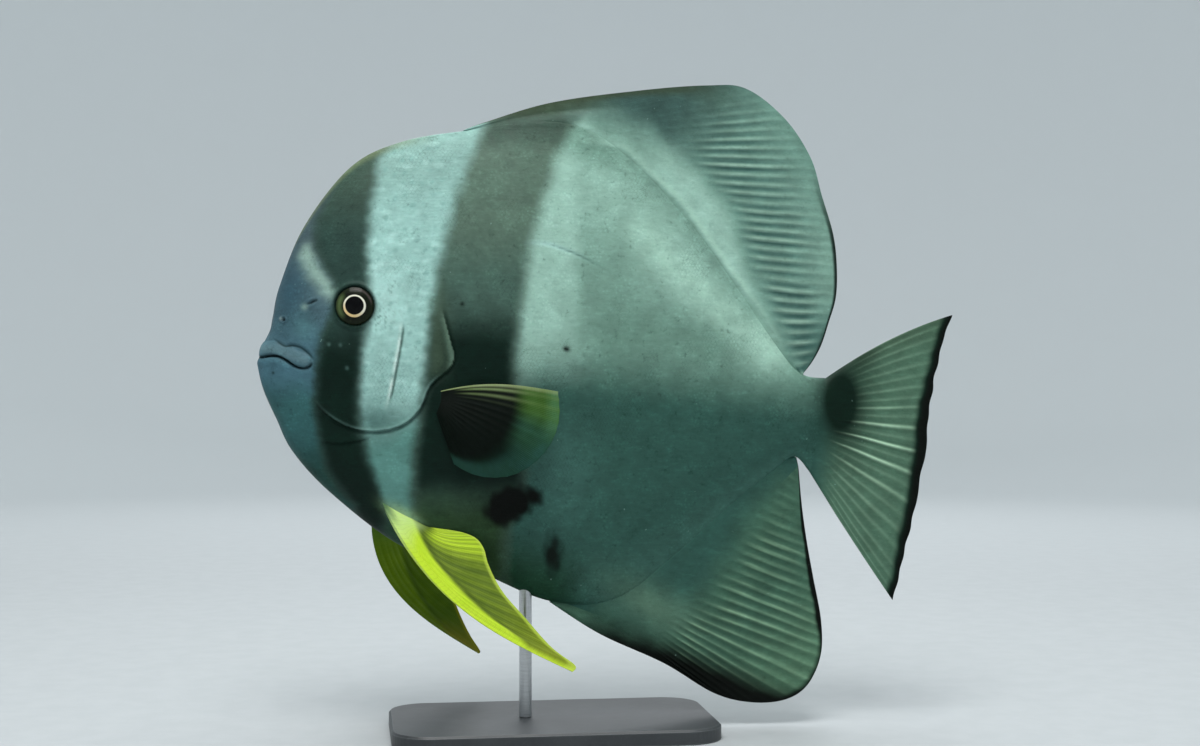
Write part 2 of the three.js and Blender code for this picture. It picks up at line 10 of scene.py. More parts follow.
import bpy
import numpy as np
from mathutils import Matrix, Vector


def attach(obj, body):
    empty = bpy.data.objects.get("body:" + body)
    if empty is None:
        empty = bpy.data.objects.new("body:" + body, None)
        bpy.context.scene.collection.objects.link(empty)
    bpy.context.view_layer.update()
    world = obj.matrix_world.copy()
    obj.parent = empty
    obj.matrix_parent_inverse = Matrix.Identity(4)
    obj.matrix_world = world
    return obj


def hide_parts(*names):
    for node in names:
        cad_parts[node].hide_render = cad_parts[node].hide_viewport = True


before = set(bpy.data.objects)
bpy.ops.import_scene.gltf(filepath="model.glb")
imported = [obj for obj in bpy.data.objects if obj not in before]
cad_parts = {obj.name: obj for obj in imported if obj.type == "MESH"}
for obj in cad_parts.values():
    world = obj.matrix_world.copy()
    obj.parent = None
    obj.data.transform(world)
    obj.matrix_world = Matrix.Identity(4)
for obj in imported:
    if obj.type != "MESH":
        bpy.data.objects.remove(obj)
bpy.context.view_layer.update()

# Place of the fish over the stand, and the swing of its tail
SNOUT_AHEAD, SNOUT_HEIGHT = 205, 267
SWING, SWING_FROM, SWING_LENGTH = -12, 250, 250

# Outline of the body: station by station, a point on the back, one on the belly and the half width
BACK = [
    (0, 0.7), (2.8, 9.8), (6.9, 18.9), (8.6, 28), (13.4, 49.7), (30.5, 91.5), (62, 132.6), (96, 150.8),
    (141, 159.8), (210.8, 166.2), (254.2, 146.2), (301.6, 98.6), (338.2, 49.7), (368.6, 5.6), (387, -12.6),
    (404.8, -15.6),
]
BELLY = [
    (0, -0.7), (-1.4, -7), (-0.3, -15.4), (3.1, -26.6), (10.7, -43.4), (22.4, -67.2), (49.4, -96.9),
    (97, -133.4), (146.4, -150.4), (203.6, -174.8), (250.6, -172.8), (292.1, -143.2), (330.9, -109.6),
    (366.5, -81.5), (381.8, -72.6), (392.5, -83.2),
]
HALF_WIDTH = [0, 6.5, 10, 12.5, 16.5, 22, 28, 33, 33.5, 31, 27, 21, 16, 12, 9.5, 6]
LAST_STATION = len(BACK) - 1
DORSAL_FROM, ANAL_FROM, FINS_TO = 8, 9, 14
EDGE_FRONT, EDGE_REAR, EDGE_RISE = 4.6, 3, 0.8

# Margins of the median fins: the station that a ray springs from, then where it ends
DORSAL = [
    (8, 144, 161.4), (8.3, 201, 180.5), (8.6, 268, 191.3), (8.9, 318, 196), (9.15, 346.5, 194),
    (9.5, 374.5, 173), (10, 393.5, 145), (10.5, 402, 117), (11, 410.3, 89), (11.5, 413, 65),
    (12, 412.2, 43), (12.5, 407, 25), (13, 401.5, 8.5), (13.5, 395, -3.4), (14, 387.8, -12.4),
]
ANAL = [
    (9, 203.1, -175.4), (9.2, 239.7, -199.2), (9.4, 286, -221), (9.6, 322, -243), (9.8, 349, -250.4),
    (10, 374, -249.2), (10.15, 391, -239), (10.35, 401, -217.5), (10.9, 401.4, -192), (11.5, 395.5, -160),
    (12, 391, -135), (12.5, 387.7, -112), (13, 385.8, -93), (13.5, 384.8, -81), (14, 383.2, -73.2),
]
CAUDAL = [
    (497.1, 30.5), (491.9, 13), (486.8, -8.2), (482.4, -28), (480.2, -46.2), (478.7, -66.7), (475, -85.6),
    (469.9, -110.4), (464, -137.4), (457.4, -164.4), (454.1, -177.5),
]
CAUDAL_BOW = (4.5, 1)
DORSAL_RAYS, ANAL_RAYS, CAUDAL_RAYS = 50, 41, 23
MEMBRANE = 0.35

# Density of the skin
BODY_ROWS = 380
FIN_ROWS = 110
CAUDAL_COLUMNS = 90
HEAD_SPACING, FLANK_SPACING = 0.62, 1.25
COLUMNS_PER_RAY = 5
JOINS_PER_MM = 2000
SHARP_ANGLE = 50

# How finely lines and stations are worked out
LINE_SAMPLES, STATION_SAMPLES, HALVINGS = 400, 8001, 40
POINTS_AT_ONCE = 20000

# Head
EYE = (65.2, 34.2)
EYE_RADIUS, EYE_DOME, EYE_DEPTH, EYE_PROUD, EYE_YAW = 13, 3.4, 9, 0.6, 6
GILL_COVER = [
    (124, 37), (127, 24.4), (130.3, 11.7), (133.3, 0.1), (131.5, -7), (125.5, -13), (118.6, -18.8),
    (114.9, -24.6), (111.3, -33.8), (107, -40.1), (99.7, -46.4), (89.2, -50.7), (76.7, -51.9),
    (64.2, -50.1), (53.7, -45.4), (45.3, -39.6), (40.1, -34.6), (36, -29.5),
]
THROAT_FOLD = [(38, -59), (51.6, -60.3), (62.1, -59.4), (72.5, -57.1), (80, -53)]
PREOPERCLE = [(97.9, 24), (97.4, 16), (96, 6.4), (92.3, -13.7), (89.7, -27.4), (86.8, -39)]
UPPER_LIP = [(4.2, 4.8), (9.2, 4.9), (14.7, 3.3), (20.3, 0.9), (25.7, -1.5), (31.6, -3.4)]
UPPER_LIP_FRONT = (1.6, 4.6)
MOUTH = [
    (1, -0.9), (7.5, 0.1), (12.9, -0.5), (18.1, -3.1), (23.4, -6.9), (28.6, -8.6), (33.4, -7.9),
    (36.6, -4.6),
]
MOUTH_FRONT = (-0.6, -1)
LOWER_LIP = [(3, -4.4), (7.5, -3.6), (12.5, -4.6), (17.2, -7.4), (22, -10.8)]
LOWER_LIP_FRONT = (0.2, -4.6)
NOSTRIL_FRONT = (16.2, 24.9)
NOSTRIL_REAR = [(32.6, 34.8), (36, 36.9), (39, 38.2)]
PORES = [(47.5, 7.9), (55.3, 7.4), (59.9, -8.4), (9.4, -11.8)]
LIP_GROOVE = [(8, 12.8), (13.9, 8.5), (18.1, 6.4), (22.3, 7.1), (28.6, 5.3), (33.9, 1.1), (37.5, -3.1)]
GILL_FLAP = [(124.8, 31.6), (127.6, 21.3), (129.6, 10.9), (131.7, 0.6), (131.7, -5.7), (127.6, -12.6)]
FACE_PATCH = [(31.5, 72), (36, 62), (43, 52), (49.5, 44.5)]

# Flank: the fold where the dorsal fin's base meets the muscle, the muscle band below it and the lateral line
CREASE = [
    (209.8, 158.7), (225.5, 152.5), (242.4, 151), (256.5, 147.9), (271.7, 134.2), (293.3, 114.9),
    (302.5, 104.4), (317.9, 83.3), (333.4, 62.2), (348.8, 42.5), (361.2, 24.3), (368.9, 10.6), (376.6, -1.6),
    (385.2, -10.4),
]
MUSCLE = [(237.1, 107), (273.2, 79.1), (302.4, 50.9), (332, 26.1), (362.2, 3.3), (385.2, -11.2)]
LATERAL = [
    (144.4, 65.1), (165.4, 75.9), (193.6, 79), (211.9, 74.4), (230.5, 66.2), (265.1, 46.8), (309.2, 22.3),
    (354, -2.5), (391.7, -24.2),
]
SHADE_LINE = [
    (60, -60), (89.3, -51.2), (140, -30), (196.5, -6.3), (264.6, -13.3), (323.6, -20.5), (383.8, -27.8),
]

# Where the rays of the median fins come out of the scaly base
RAY_START_D = [
    (221, 178.5), (245.6, 175.3), (257.2, 171.5), (268.8, 167), (279.7, 160.8), (289.9, 153.4),
    (302.3, 142.5), (316.2, 126.5), (330.1, 107.9), (339.7, 92.9), (349.9, 68.4), (357.3, 51.8),
    (364.6, 33.7), (370.5, 19.3), (374.9, 8.4), (380.1, -2.5),
]
RAY_START_A = [
    (240, -186), (268, -196.2), (288.4, -194), (304.5, -181.1), (314, -174), (322.1, -164.8), (327.9, -154.1),
    (336, -144.1), (342.6, -129), (348.5, -118.2), (359.5, -103.8), (370.5, -93),
]


def track(points):
    """A smooth line through points, read by the number of the point."""
    p = np.array(points, float)
    if p.ndim == 1:
        p = p[:, None]
    last = len(p) - 1

    def at(s):
        s = np.clip(np.asarray(s, float), 0, last)
        i = np.minimum(np.floor(s).astype(int), last - 1)
        w = (s - i)[..., None]
        a, b, c, d = (p[np.clip(i + k, 0, last)] for k in (-1, 0, 1, 2))
        m, n = (c - a) / 2, (d - b) / 2
        return ((2 * b - 2 * c + m + n) * w + (3 * c - 3 * b - 2 * m - n)) * w * w + m * w + b

    return at


def rise(x, low, high):
    """Smoothly from 0 at low to 1 at high."""
    t = np.clip((x - low) / (high - low), 0, 1)
    return t * t * (3 - 2 * t)


def fall(x, low, high):
    """Smoothly from 1 at low to 0 at high."""
    return 1 - rise(x, low, high)


def span(x, low, full, past, high):
    """Rises from low to full and falls again from past to high."""
    return rise(x, low, full) * fall(x, past, high)


def mix(a, b, t):
    return a + (b - a) * t


def bell(x, width):
    """1 at 0, falling off to both sides."""
    return np.exp(-((x / width) ** 2))


def arc_length(line):
    """Length of a line from its start to each of its points."""
    return np.concatenate([[0], np.cumsum(np.linalg.norm(np.diff(line, axis=0), axis=1))])


back, belly, half_width = track(BACK), track(BELLY), track(HALF_WIDTH)


def edge_width(s, start):
    width = mix(EDGE_FRONT, EDGE_REAR, rise(s, start, FINS_TO))
    return rise(s, start, start + EDGE_RISE) * width * fall(s, FINS_TO - 1, FINS_TO)


def flank_width(s, v):
    """Half thickness of the body at station s, with v from 0 on the back to 1 on the belly."""
    low = rise(v, 0.2, 0.8)
    edge = mix(edge_width(s, DORSAL_FROM), edge_width(s, ANAL_FROM), low)
    upper_power = 1 + 0.7 * rise(s, DORSAL_FROM - 1.5, DORSAL_FROM + 1.5)
    lower_power = 1 + 0.7 * rise(s, ANAL_FROM - 1, ANAL_FROM + 1.5)
    power = mix(1, mix(upper_power, lower_power, low), fall(s, FINS_TO - 1, FINS_TO))
    round_ = np.sqrt(np.clip(1 - (1 - 2 * v) ** 2, 0, 1))
    return edge + (half_width(s)[..., 0] - edge) * round_**power


def station_at(x, z):
    """Station and place across the body of points in the side view."""
    x, z = np.asarray(x, float), np.asarray(z, float)
    low, high = np.zeros(x.shape), np.full(x.shape, float(LAST_STATION))
    for _ in range(HALVINGS):
        s = (low + high) / 2
        top = back(s)
        across = belly(s) - top
        ahead = across[..., 0] * (z - top[..., 1]) - across[..., 1] * (x - top[..., 0])
        low, high = np.where(ahead > 0, s, low), np.where(ahead > 0, high, s)
    top = back(low)
    across = belly(low) - top
    v = ((x - top[..., 0]) * across[..., 0] + (z - top[..., 1]) * across[..., 1]) / (across**2).sum(-1)
    return low, np.clip(v, 0, 1)


def flank_at(x, z):
    return flank_width(*station_at(x, z))


def ripple(x, z, size, seed):
    """Smooth uneven waves between about -1 and 1, of that size in millimetres."""
    rng = np.random.default_rng(seed)
    total = 0
    for _ in range(7):
        angle, phase = rng.uniform(0, math.tau, 2)
        scale = math.tau / size * rng.uniform(0.5, 1.6)
        total = total + np.sin((x * math.cos(angle) + z * math.sin(angle)) * scale + phase)
    return total / 4


# Skin: columns follow the stations, close together on the head and where rays are dense


def ray_numbers(margin, edge):
    """Ray coordinate from 0 to 1 of each station, even along a line 40 % in from the tips."""
    m = np.array(margin, float)
    k = np.linspace(0, len(m) - 1, 3000)
    stations = track(m[:, 0])(k)[..., 0]
    line = mix(track(m[:, 1:])(k), edge(stations), 0.4)
    length = arc_length(line)
    return stations, k, length / length[-1]


dorsal_rays = ray_numbers(DORSAL, back)
anal_rays = ray_numbers(ANAL, belly)


def skin_columns():
    s = np.linspace(0, LAST_STATION, STATION_SAMPLES)
    top, low, half = back(s), belly(s), half_width(s)[:, 0]
    middle = np.stack([(top[:, 0] + low[:, 0]) / 2, half, (top[:, 1] + low[:, 1]) / 2], 1)
    speed = np.linalg.norm(np.gradient(middle, s, axis=0), axis=1)
    for line in (top, low):
        speed = np.maximum(speed, 0.55 * np.linalg.norm(np.gradient(line, s, axis=0), axis=1))
    rate = speed / mix(HEAD_SPACING, FLANK_SPACING, rise(s, 6.9, 8.6))
    for (stations, _, share), rays in ((dorsal_rays, DORSAL_RAYS), (anal_rays, ANAL_RAYS)):
        numbers = np.interp(s, stations, share * rays)
        rate = np.maximum(rate, np.gradient(numbers, s) * COLUMNS_PER_RAY)
    total = np.concatenate([[0], np.cumsum((rate[1:] + rate[:-1]) / 2 * np.diff(s))])
    columns = np.interp(np.linspace(0, total[-1], int(total[-1])), total, s)
    for fixed in (DORSAL_FROM, ANAL_FROM, FINS_TO):
        columns[np.abs(columns - fixed).argmin()] = fixed
    return columns


stations = skin_columns()
rows = (1 - np.cos(np.pi * np.arange(BODY_ROWS + 1) / BODY_ROWS)) / 2
first_dorsal, first_anal, last_fin = np.searchsorted(stations, (DORSAL_FROM, ANAL_FROM, FINS_TO))

# Every vertex of the left half: x, half thickness, z, then which form it is on and its place there
BODY, D_FIN, A_FIN, C_FIN = 0, 1, 2, 3
vertices, forms, rho, out = [], [], [], []


def put(x, half, z, form, ray, t):
    """Adds a grid of points and returns the grid of their numbers."""
    start = sum(len(a) for a in vertices)
    x, half, z, ray, t = np.broadcast_arrays(x, half, z, ray, t)
    vertices.append(np.stack([x, half, z], -1).reshape(-1, 3))
    forms.append(np.full(x.size, form))
    rho.append(ray.ravel())
    out.append(t.ravel())
    return start + np.arange(x.size).reshape(x.shape)


S, V = np.meshgrid(stations, rows, indexing="ij")
middle = mix(back(S), belly(S), V[..., None])
body = put(middle[..., 0], flank_width(S, V), middle[..., 1], BODY, S, V)

fin_steps = np.linspace(0, 1, FIN_ROWS + 1)[1:]
fin_steps = fin_steps + 0.06 * np.sin(np.pi * fin_steps)


def median_fin(first, margin, edge, rays, table, form, row, start):
    """Grid of a fin between the row of the body that it grows from and its margin."""
    s = stations[first : last_fin + 1]
    numbers, k_of, share = table
    tip = track(np.array(margin)[:, 1:])(np.interp(s, numbers, k_of))
    base = edge(s)
    t = fin_steps[None, :]
    x, z = mix(base[:, :1], tip[:, :1], t), mix(base[:, 1:], tip[:, 1:], t)
    root_half = np.maximum(edge_width(s, start), 0)[:, None]
    half = mix(root_half, np.minimum(1.1, mix(root_half, 1.1, rise(t, 0, 0.2))), rise(t, 0, 0.45))
    half = mix(half, MEMBRANE, rise(t, 0.3, 1))
    grid = put(x, half, z, form, np.interp(s, numbers, share * rays)[:, None], t)
    return np.concatenate([body[first : last_fin + 1, row, None], grid], 1)


dorsal = median_fin(first_dorsal, DORSAL, back, DORSAL_RAYS, dorsal_rays, D_FIN, 0, DORSAL_FROM)
anal = median_fin(first_anal, ANAL, belly, ANAL_RAYS, anal_rays, A_FIN, -1, ANAL_FROM)

t = np.linspace(0, 1, CAUDAL_COLUMNS + 1)[1:, None]
t = t + 0.05 * np.sin(np.pi * t)
u = rows[None, :]
root = mix(back(LAST_STATION), belly(LAST_STATION), u[..., None])
tip = track(CAUDAL)(u * (len(CAUDAL) - 1))
tip[..., 0] += 0.9 * ripple(tip[..., 1], 0 * tip[..., 1], 24, 51)
outer = (1 - 2 * u) * np.abs(1 - 2 * u)
bow = np.where(u < 0.5, CAUDAL_BOW[0], CAUDAL_BOW[1]) * outer * 4 * t * (1 - t)
half = mix(flank_width(np.float64(LAST_STATION), u), 1.2, rise(t, 0, 0.4))
half = mix(half, MEMBRANE, rise(t, 0.3, 1))
x, z = mix(root[..., 0], tip[..., 0], t), mix(root[..., 1], tip[..., 1], t) + bow
caudal = put(x, half, z, C_FIN, u * CAUDAL_RAYS, t)
caudal = np.concatenate([body[-1:, :], caudal], 0)

left = np.concatenate(vertices)
form = np.concatenate(forms)
ray = np.concatenate(rho)
along = np.concatenate(out)


def quads(grid, flip):
    a, b, c, d = grid[:-1, :-1], grid[:-1, 1:], grid[1:, 1:], grid[1:, :-1]
    q = np.stack([a, b, c, d], -1).reshape(-1, 4)
    return q[:, ::-1] if flip else q


half_quads = [quads(body, False), quads(dorsal, True), quads(anal, False), quads(caudal, False)]
half_quads = np.concatenate(half_quads)


def strip(line, inner):
    """Closes the thin edge between the two sides along a line of vertices."""
    other = line + len(left)
    q = np.stack([line[:-1], line[1:], other[1:], other[:-1]], -1)
    p = np.concatenate([left * (1, -1, 1), left])
    normal = np.cross(p[q[:, 1]] - p[q[:, 0]], p[q[:, 3]] - p[q[:, 0]])
    outward = ((p[line] - p[inner]) * (1, 0, 1))[:-1]
    return q if (normal * outward).sum() > 0 else q[:, ::-1]


strips = []
for grid in (dorsal, anal, caudal.T):
    strips += [strip(grid[0], grid[1]), strip(grid[:, -1], grid[:, -2]), strip(grid[-1], grid[-2])]
points = np.concatenate([left * (1, -1, 1), left])
all_quads = np.concatenate([half_quads, half_quads[:, ::-1] + len(left), *strips])


def tidy_faces(q):
    """Face corners with doubled ones dropped: the four-sided faces and the three-sided ones."""
    doubled = q == np.roll(q, -1, axis=1)
    count = doubled.sum(1)
    four = q[count == 0]
    three = q[count == 1]
    if len(three):
        three = three[~doubled[count == 1]].reshape(-1, 3)
        three = three[(three != np.roll(three, -1, axis=1)).all(1)]
    return four, three


def join(p, faces, per_unit=JOINS_PER_MM):
    """Joins vertices that fall together: the numbers of those that stay, then the faces between them."""
    keys = np.round(p * per_unit).astype(np.int64)
    _, first, same = np.unique(keys, axis=0, return_index=True, return_inverse=True)
    return first, *tidy_faces(same.ravel()[faces])


first_of, four, three = join(points, all_quads)
points, source = points[first_of], first_of % len(left)


def normals_of(p, four, three):
    total = np.zeros_like(p)
    n4 = np.cross(p[four[:, 2]] - p[four[:, 0]], p[four[:, 3]] - p[four[:, 1]])
    n3 = np.cross(p[three[:, 1]] - p[three[:, 0]], p[three[:, 2]] - p[three[:, 0]])
    for face, normal in ((four, n4), (three, n3)):
        for corner in range(face.shape[1]):
            for axis in range(3):
                total[:, axis] += np.bincount(face[:, corner], normal[:, axis], len(p))
    return total / np.maximum(np.linalg.norm(total, axis=1, keepdims=True), 1e-9)


normals = normals_of(points, four, three)

# Relief of the skin, in millimetres along its normal
FAR = 1e3
x, z = left[:, 0], left[:, 2]
on_body, in_dorsal, in_anal, in_caudal = (form == kind for kind in (BODY, D_FIN, A_FIN, C_FIN))
relief = np.zeros(len(left))


def near(line, reach, front=None, step=0.5, flat=False):
    """Distance of the left half's points from a smooth line on the flank or, if flat, on the median plane,
    their place along it from 0 to 1 and the side they are on. Points out of reach keep the distance FAR.
    """
    rough = track(line)(np.linspace(0, len(line) - 1, LINE_SAMPLES))
    length = arc_length(rough)
    count = max(12, int(length[-1] / step))
    even = np.linspace(0, length[-1], count)
    x, z = np.interp(even, length, rough[:, 0]), np.interp(even, length, rough[:, 1])
    y = np.zeros(count) if flat else flank_at(x, z)
    if front is not None:
        t = np.linspace(0, 1, 24, endpoint=False)
        x = np.concatenate([mix(front[0], x[0], 1 - np.cos(t * math.pi / 2)), x])
        z = np.concatenate([mix(front[1], z[0], t), z])
        y = np.concatenate([y[0] * np.sin(t * math.pi / 2), y])
    nodes = np.stack([x, y, z], 1)
    direction = np.gradient(nodes, axis=0)
    p = left * (1, 0, 1) if flat else left
    distance, along, side = np.full(len(p), FAR), np.zeros(len(p)), np.ones(len(p))
    close = np.nonzero(((p > nodes.min(0) - reach) & (p < nodes.max(0) + reach)).all(1))[0]
    for part in np.array_split(close, len(close) // POINTS_AT_ONCE + 1):
        gap = p[part][:, None, :] - nodes[None]
        square = (gap**2).sum(-1)
        k = square.argmin(1)
        rows = np.arange(len(part))
        d, g = direction[k], gap[rows, k]
        distance[part] = np.sqrt(square[rows, k])
        along[part] = k / (len(nodes) - 1)
        side[part] = np.sign(d[:, 0] * g[:, 2] - d[:, 2] * g[:, 0])
    return distance, along, side


def dot(at_x, at_z, width, wide=1, high=1):
    """1 at a point of the side view, less with the distance from it."""
    return bell(np.hypot((x - at_x) / wide, (z - at_z) / high), width)


gill_d, gill_t, gill_side = near(GILL_COVER, 26)
gill_on = span(gill_t, 0, 0.08, 0.86, 1)
before = gill_side < 0
cover = np.where(before, np.exp(-gill_d / 9) * rise(gill_d, -0.5, 0.5), -0.65 * bell(gill_d - 0.9, 1.3))
relief += 1.5 * cover * gill_on * on_body

fold_d, fold_t, fold_side = near(THROAT_FOLD, 12)
fold_on = span(fold_t, 0, 0.3, 0.6, 1)
relief += np.where(fold_side > 0, 0.8 * np.exp(-fold_d / 4), -0.7 * bell(fold_d - 0.7, 1.2)) * fold_on

pre_d, pre_t, pre_side = near(PREOPERCLE, 14)
pre_on = span(pre_t, 0, 0.12, 0.75, 1)
relief += np.where(pre_side < 0, 0.55 * np.exp(-pre_d / 2.6), -0.75 * bell(pre_d - 0.55, 0.75)) * pre_on

lip_d, lip_t, _ = near(UPPER_LIP, 14, UPPER_LIP_FRONT, 0.4)
lip = np.clip(1 - (lip_d / mix(5.6, 4.9, rise(lip_t, 0.35, 1))) ** 2, 0, 1) ** 0.8
relief += 1.75 * lip * mix(0.75, 1, rise(lip_t, 0.2, 0.8))
groove_d, groove_t, groove_side = near(LIP_GROOVE, 10, step=0.4)
groove_on = span(groove_t, 0, 0.25, 0.9, 1)
relief += (0.45 * bell(groove_d - 2.2, 2) * (groove_side > 0) - 0.85 * bell(groove_d, 0.95)) * groove_on
mouth_d, mouth_t, _ = near(MOUTH, 10, MOUTH_FRONT, 0.4)
mouth_depth = mix(3.4, 1.6, rise(mouth_t, 0.62, 0.85)) * span(mouth_t, 0.04, 0.28, 0.93, 1)
relief -= mouth_depth * bell(mouth_d, 0.9)
lower_d, lower_t, _ = near(LOWER_LIP, 10, LOWER_LIP_FRONT, 0.4)
relief += 0.9 * bell(lower_d, 2.6) * fall(lower_t, 0.75, 1)

eye_d = np.hypot(x - EYE[0], z - EYE[1])
relief += (1.2 * bell(eye_d - 15.1, 1.7) - 5.0 * fall(eye_d, 12.7, 13.9)) * on_body

front_d = np.hypot(x - NOSTRIL_FRONT[0], z - NOSTRIL_FRONT[1])
relief += 0.8 * bell(front_d - 2, 0.8) - 1.5 * bell(front_d, 1.1)
rear_d, rear_t, _ = near(NOSTRIL_REAR, 8, step=0.4)
rear_on = mix(0.35, 1, span(rear_t, 0, 0.3, 0.7, 1))
relief += (0.6 * bell(rear_d - 2, 1.1) - 1.2 * bell(rear_d, 0.75)) * rear_on
for pore in PORES:
    relief += 0.3 * dot(*pore, 1.5) - 0.45 * dot(*pore, 0.6)

relief += 1.6 * dot(119, -31, 8, 1.2) * on_body
relief += 0.35 * ripple(x, z * 0.6, 46, 3) * on_body * span(along, 0, 0.05, 0.95, 1)

crease_d, crease_t, crease_side = near(CREASE, 34)
crease_on = rise(crease_t, 0.05, 0.24) * (1 - 0.6 * rise(crease_t, 0.8, 1))
crease = crease_d * crease_side
step_up = 0.85 * np.exp(-np.maximum(crease, 0) / 8) * rise(crease, -3, 3)
relief += (step_up - 0.3 * bell(crease + 6, 5)) * crease_on
for edge, first, height in ((back, DORSAL_FROM, 0.9), (belly, ANAL_FROM, 0.25)):
    root_d, root_t, _ = near(edge(np.arange(first, FINS_TO + 1)), 16)
    relief += height * bell(root_d, 3.6) * span(root_t, 0, 0.05, 0.86, 0.98)
muscle_d, muscle_t, _ = near(MUSCLE, 40)
muscle = bell(muscle_d, 13) * span(muscle_t, 0, 0.2, 0.85, 1)
relief += 1.1 * muscle
lateral_d, lateral_t, _ = near(LATERAL, 8)
lateral_on = rise(lateral_t, 0.13, 0.21) * (1 - 0.85 * rise(lateral_t, 0.28, 0.46)) * on_body
lateral = bell(lateral_d, 0.9) * lateral_on
relief -= 0.3 * lateral

# Fin rays stand out from the membrane, from where they leave the scaly base of the fin to the margin


def ray_wave(number):
    """1 on a ray, 0 on the membrane between."""
    return (0.5 + 0.5 * np.cos(math.tau * number)) ** 1.8


start_d, _, start_side_d = near(RAY_START_D, 400, flat=True)
start_a, _, start_side_a = near(RAY_START_A, 400, flat=True)
uneven = ripple(x, z, 34, 31)
beyond_d = start_d * start_side_d + 1.6 * uneven + 5 * fall(z, 60, 110)
beyond_a = -start_a * start_side_a + 2 * uneven + 6
ray = ray + 0.055 * ripple(x, z, 52, 32) * rise(along, 0.05, 0.3)
ray_on = np.where(in_caudal, rise(along, 0.1, 0.35), 0)
ray_on = np.where(in_dorsal, rise(beyond_d, -2, 16) * mix(0.06, 1, rise(x - z, 128, 190)), ray_on)
ray_on = np.where(in_anal, rise(beyond_a, -4, 26) * mix(0.03, 1, rise(x, 272, 306)), ray_on)
fade = np.where(in_caudal, 1 - 0.6 * rise(along, 0.55, 0.95), 1 - 0.75 * rise(along, 0.6, 1))
fade = np.where(in_anal, 1 - 0.35 * rise(along, 0.6, 1) - 0.4 * rise(z, -150, -110), fade)
strength = np.clip(0.82 + 0.2 * ripple(x, z, 40, 33) + 0.14 * np.sin(2.4 * np.round(ray) + 1.1), 0.5, 1.1)
middle = (0.5 + 0.5 * np.cos(math.pi * np.round(ray))) * bell(ray - 12.3, 3.6)
strength = np.where(in_caudal, 0.12 + 0.95 * middle, strength)
wave = np.where(in_caudal, ray_wave(ray) ** 2.2, ray_wave(ray))
shown = wave * ray_on * fade * strength
ray_height = shown * fall(along, 0.965, 1)
relief += np.where(on_body, 0, 0.9 * ray_height)

# Tone of the skin: broad areas of colour from named edges, softened and slightly uneven


def rgb(r, g, b):
    """Linear colour from one given in 0 to 255."""
    c = np.array([r, g, b]) / 255
    return np.where(c <= 0.04045, c / 12.92, ((c + 0.055) / 1.055) ** 2.4)


def edge_x(points):
    """x of a bar's edge at each height, through points given from the belly up."""
    p = np.array(sorted(points, key=lambda a: a[1]), float)
    fine = track(p)(np.linspace(0, len(p) - 1, LINE_SAMPLES))
    order = np.argsort(fine[:, 1])
    return lambda height: np.interp(height, fine[order, 1], fine[order, 0])


BAR1_FRONT = edge_x([
    (58.5, 134.5), (44.7, 109), (37.9, 87.4), (42.8, 66.2), (51.5, 47), (50, 29), (42.1, 10), (38.7, -30.5),
    (40, -47.8), (42.7, -65.3), (51.6, -86.4), (66.1, -104.1),
])
BAR1_REAR = edge_x([
    (86.5, 149), (79.9, 122.4), (74.2, 86.9), (72.8, 64.6), (74.8, 45.3), (73.4, 24.6), (70.1, 7.4),
    (67.4, -16.7), (67.4, -37.4), (70.1, -58.2), (78.4, -86.1), (85.4, -107.3),
])
BAR2_FRONT = edge_x([
    (158.4, 164.3), (145.5, 137.8), (134.4, 108.7), (125.7, 73.3), (120, 38.5), (116.5, 7.4), (113.1, -23.6),
    (110.5, -44.3), (107.1, -65.1), (106, -100.1), (110.4, -121.6),
])
BAR2_REAR = edge_x([
    (231.8, 183.2), (218.9, 165.1), (207.8, 142.4), (197.6, 109.6), (186.4, 74), (179.8, 38.9), (175.5, 7.6),
    (174.8, -23.7), (175.6, -51.5), (180.8, -79.6), (179.7, -100.7), (169.5, -121.9),
])
wx = x + 0.9 * ripple(x, z, 26, 11) + 0.5 * ripple(x, z, 8, 12)
wz = z + 1.2 * ripple(x, z, 26, 13)


def bar(front, rear, soft_front, soft_rear):
    return rise(wx - front(wz), -soft_front, soft_front) * rise(rear(wz) - wx, -soft_rear, soft_rear)


def spot(at_x, at_z, width, wide=1, high=1):
    """Like dot, with the uneven outline of the markings."""
    return bell(np.hypot((wx - at_x) / wide, (wz - at_z) / high), width)


bar1 = bar(BAR1_FRONT, BAR1_REAR, 6, 6)
bar2 = bar(BAR2_FRONT, BAR2_REAR, 7, 8)
shade_z = np.interp(wx, *np.array(SHADE_LINE, float).T)

PALE, PALE_TOP, PALE_BRIGHT = rgb(146, 196, 189), rgb(126, 170, 163), rgb(170, 220, 213)
PALE_REAR, PALE_SHADE = rgb(144, 189, 174), rgb(100, 141, 126)
LOWER, LOWER_HEAD, LOWER_CHEEK = rgb(44, 86, 77), rgb(86, 142, 134), rgb(50, 92, 88)
LOWER_FLANK, BELLY_TONE, PELVIC_BASE = rgb(62, 108, 100), rgb(22, 62, 38), rgb(26, 54, 26)
SLATE, SLATE_HIGH = rgb(72, 100, 109), rgb(64, 84, 90)
SLATE_MID, SLATE_DEEP = rgb(65, 107, 122), rgb(46, 94, 96)
BROW, SNOUT, THROAT = rgb(38, 74, 90), rgb(76, 126, 132), rgb(20, 58, 46)
FACE_PALE, LIP = rgb(144, 180, 168), rgb(96, 130, 138)
NOSTRIL_HIGHLIGHT, PORE = rgb(160, 188, 190), rgb(90, 130, 124)
MOTTLE, MOTTLE_DARK = rgb(108, 160, 154), rgb(66, 112, 104)
CREASE_SHADE, PALE_MUSCLE_AND_HIGHLIGHT = rgb(88, 128, 114), rgb(156, 202, 184)
GILL_OLIVE, GILL_EDGE, GLINT = rgb(66, 88, 70), rgb(92, 122, 104), rgb(220, 246, 238)
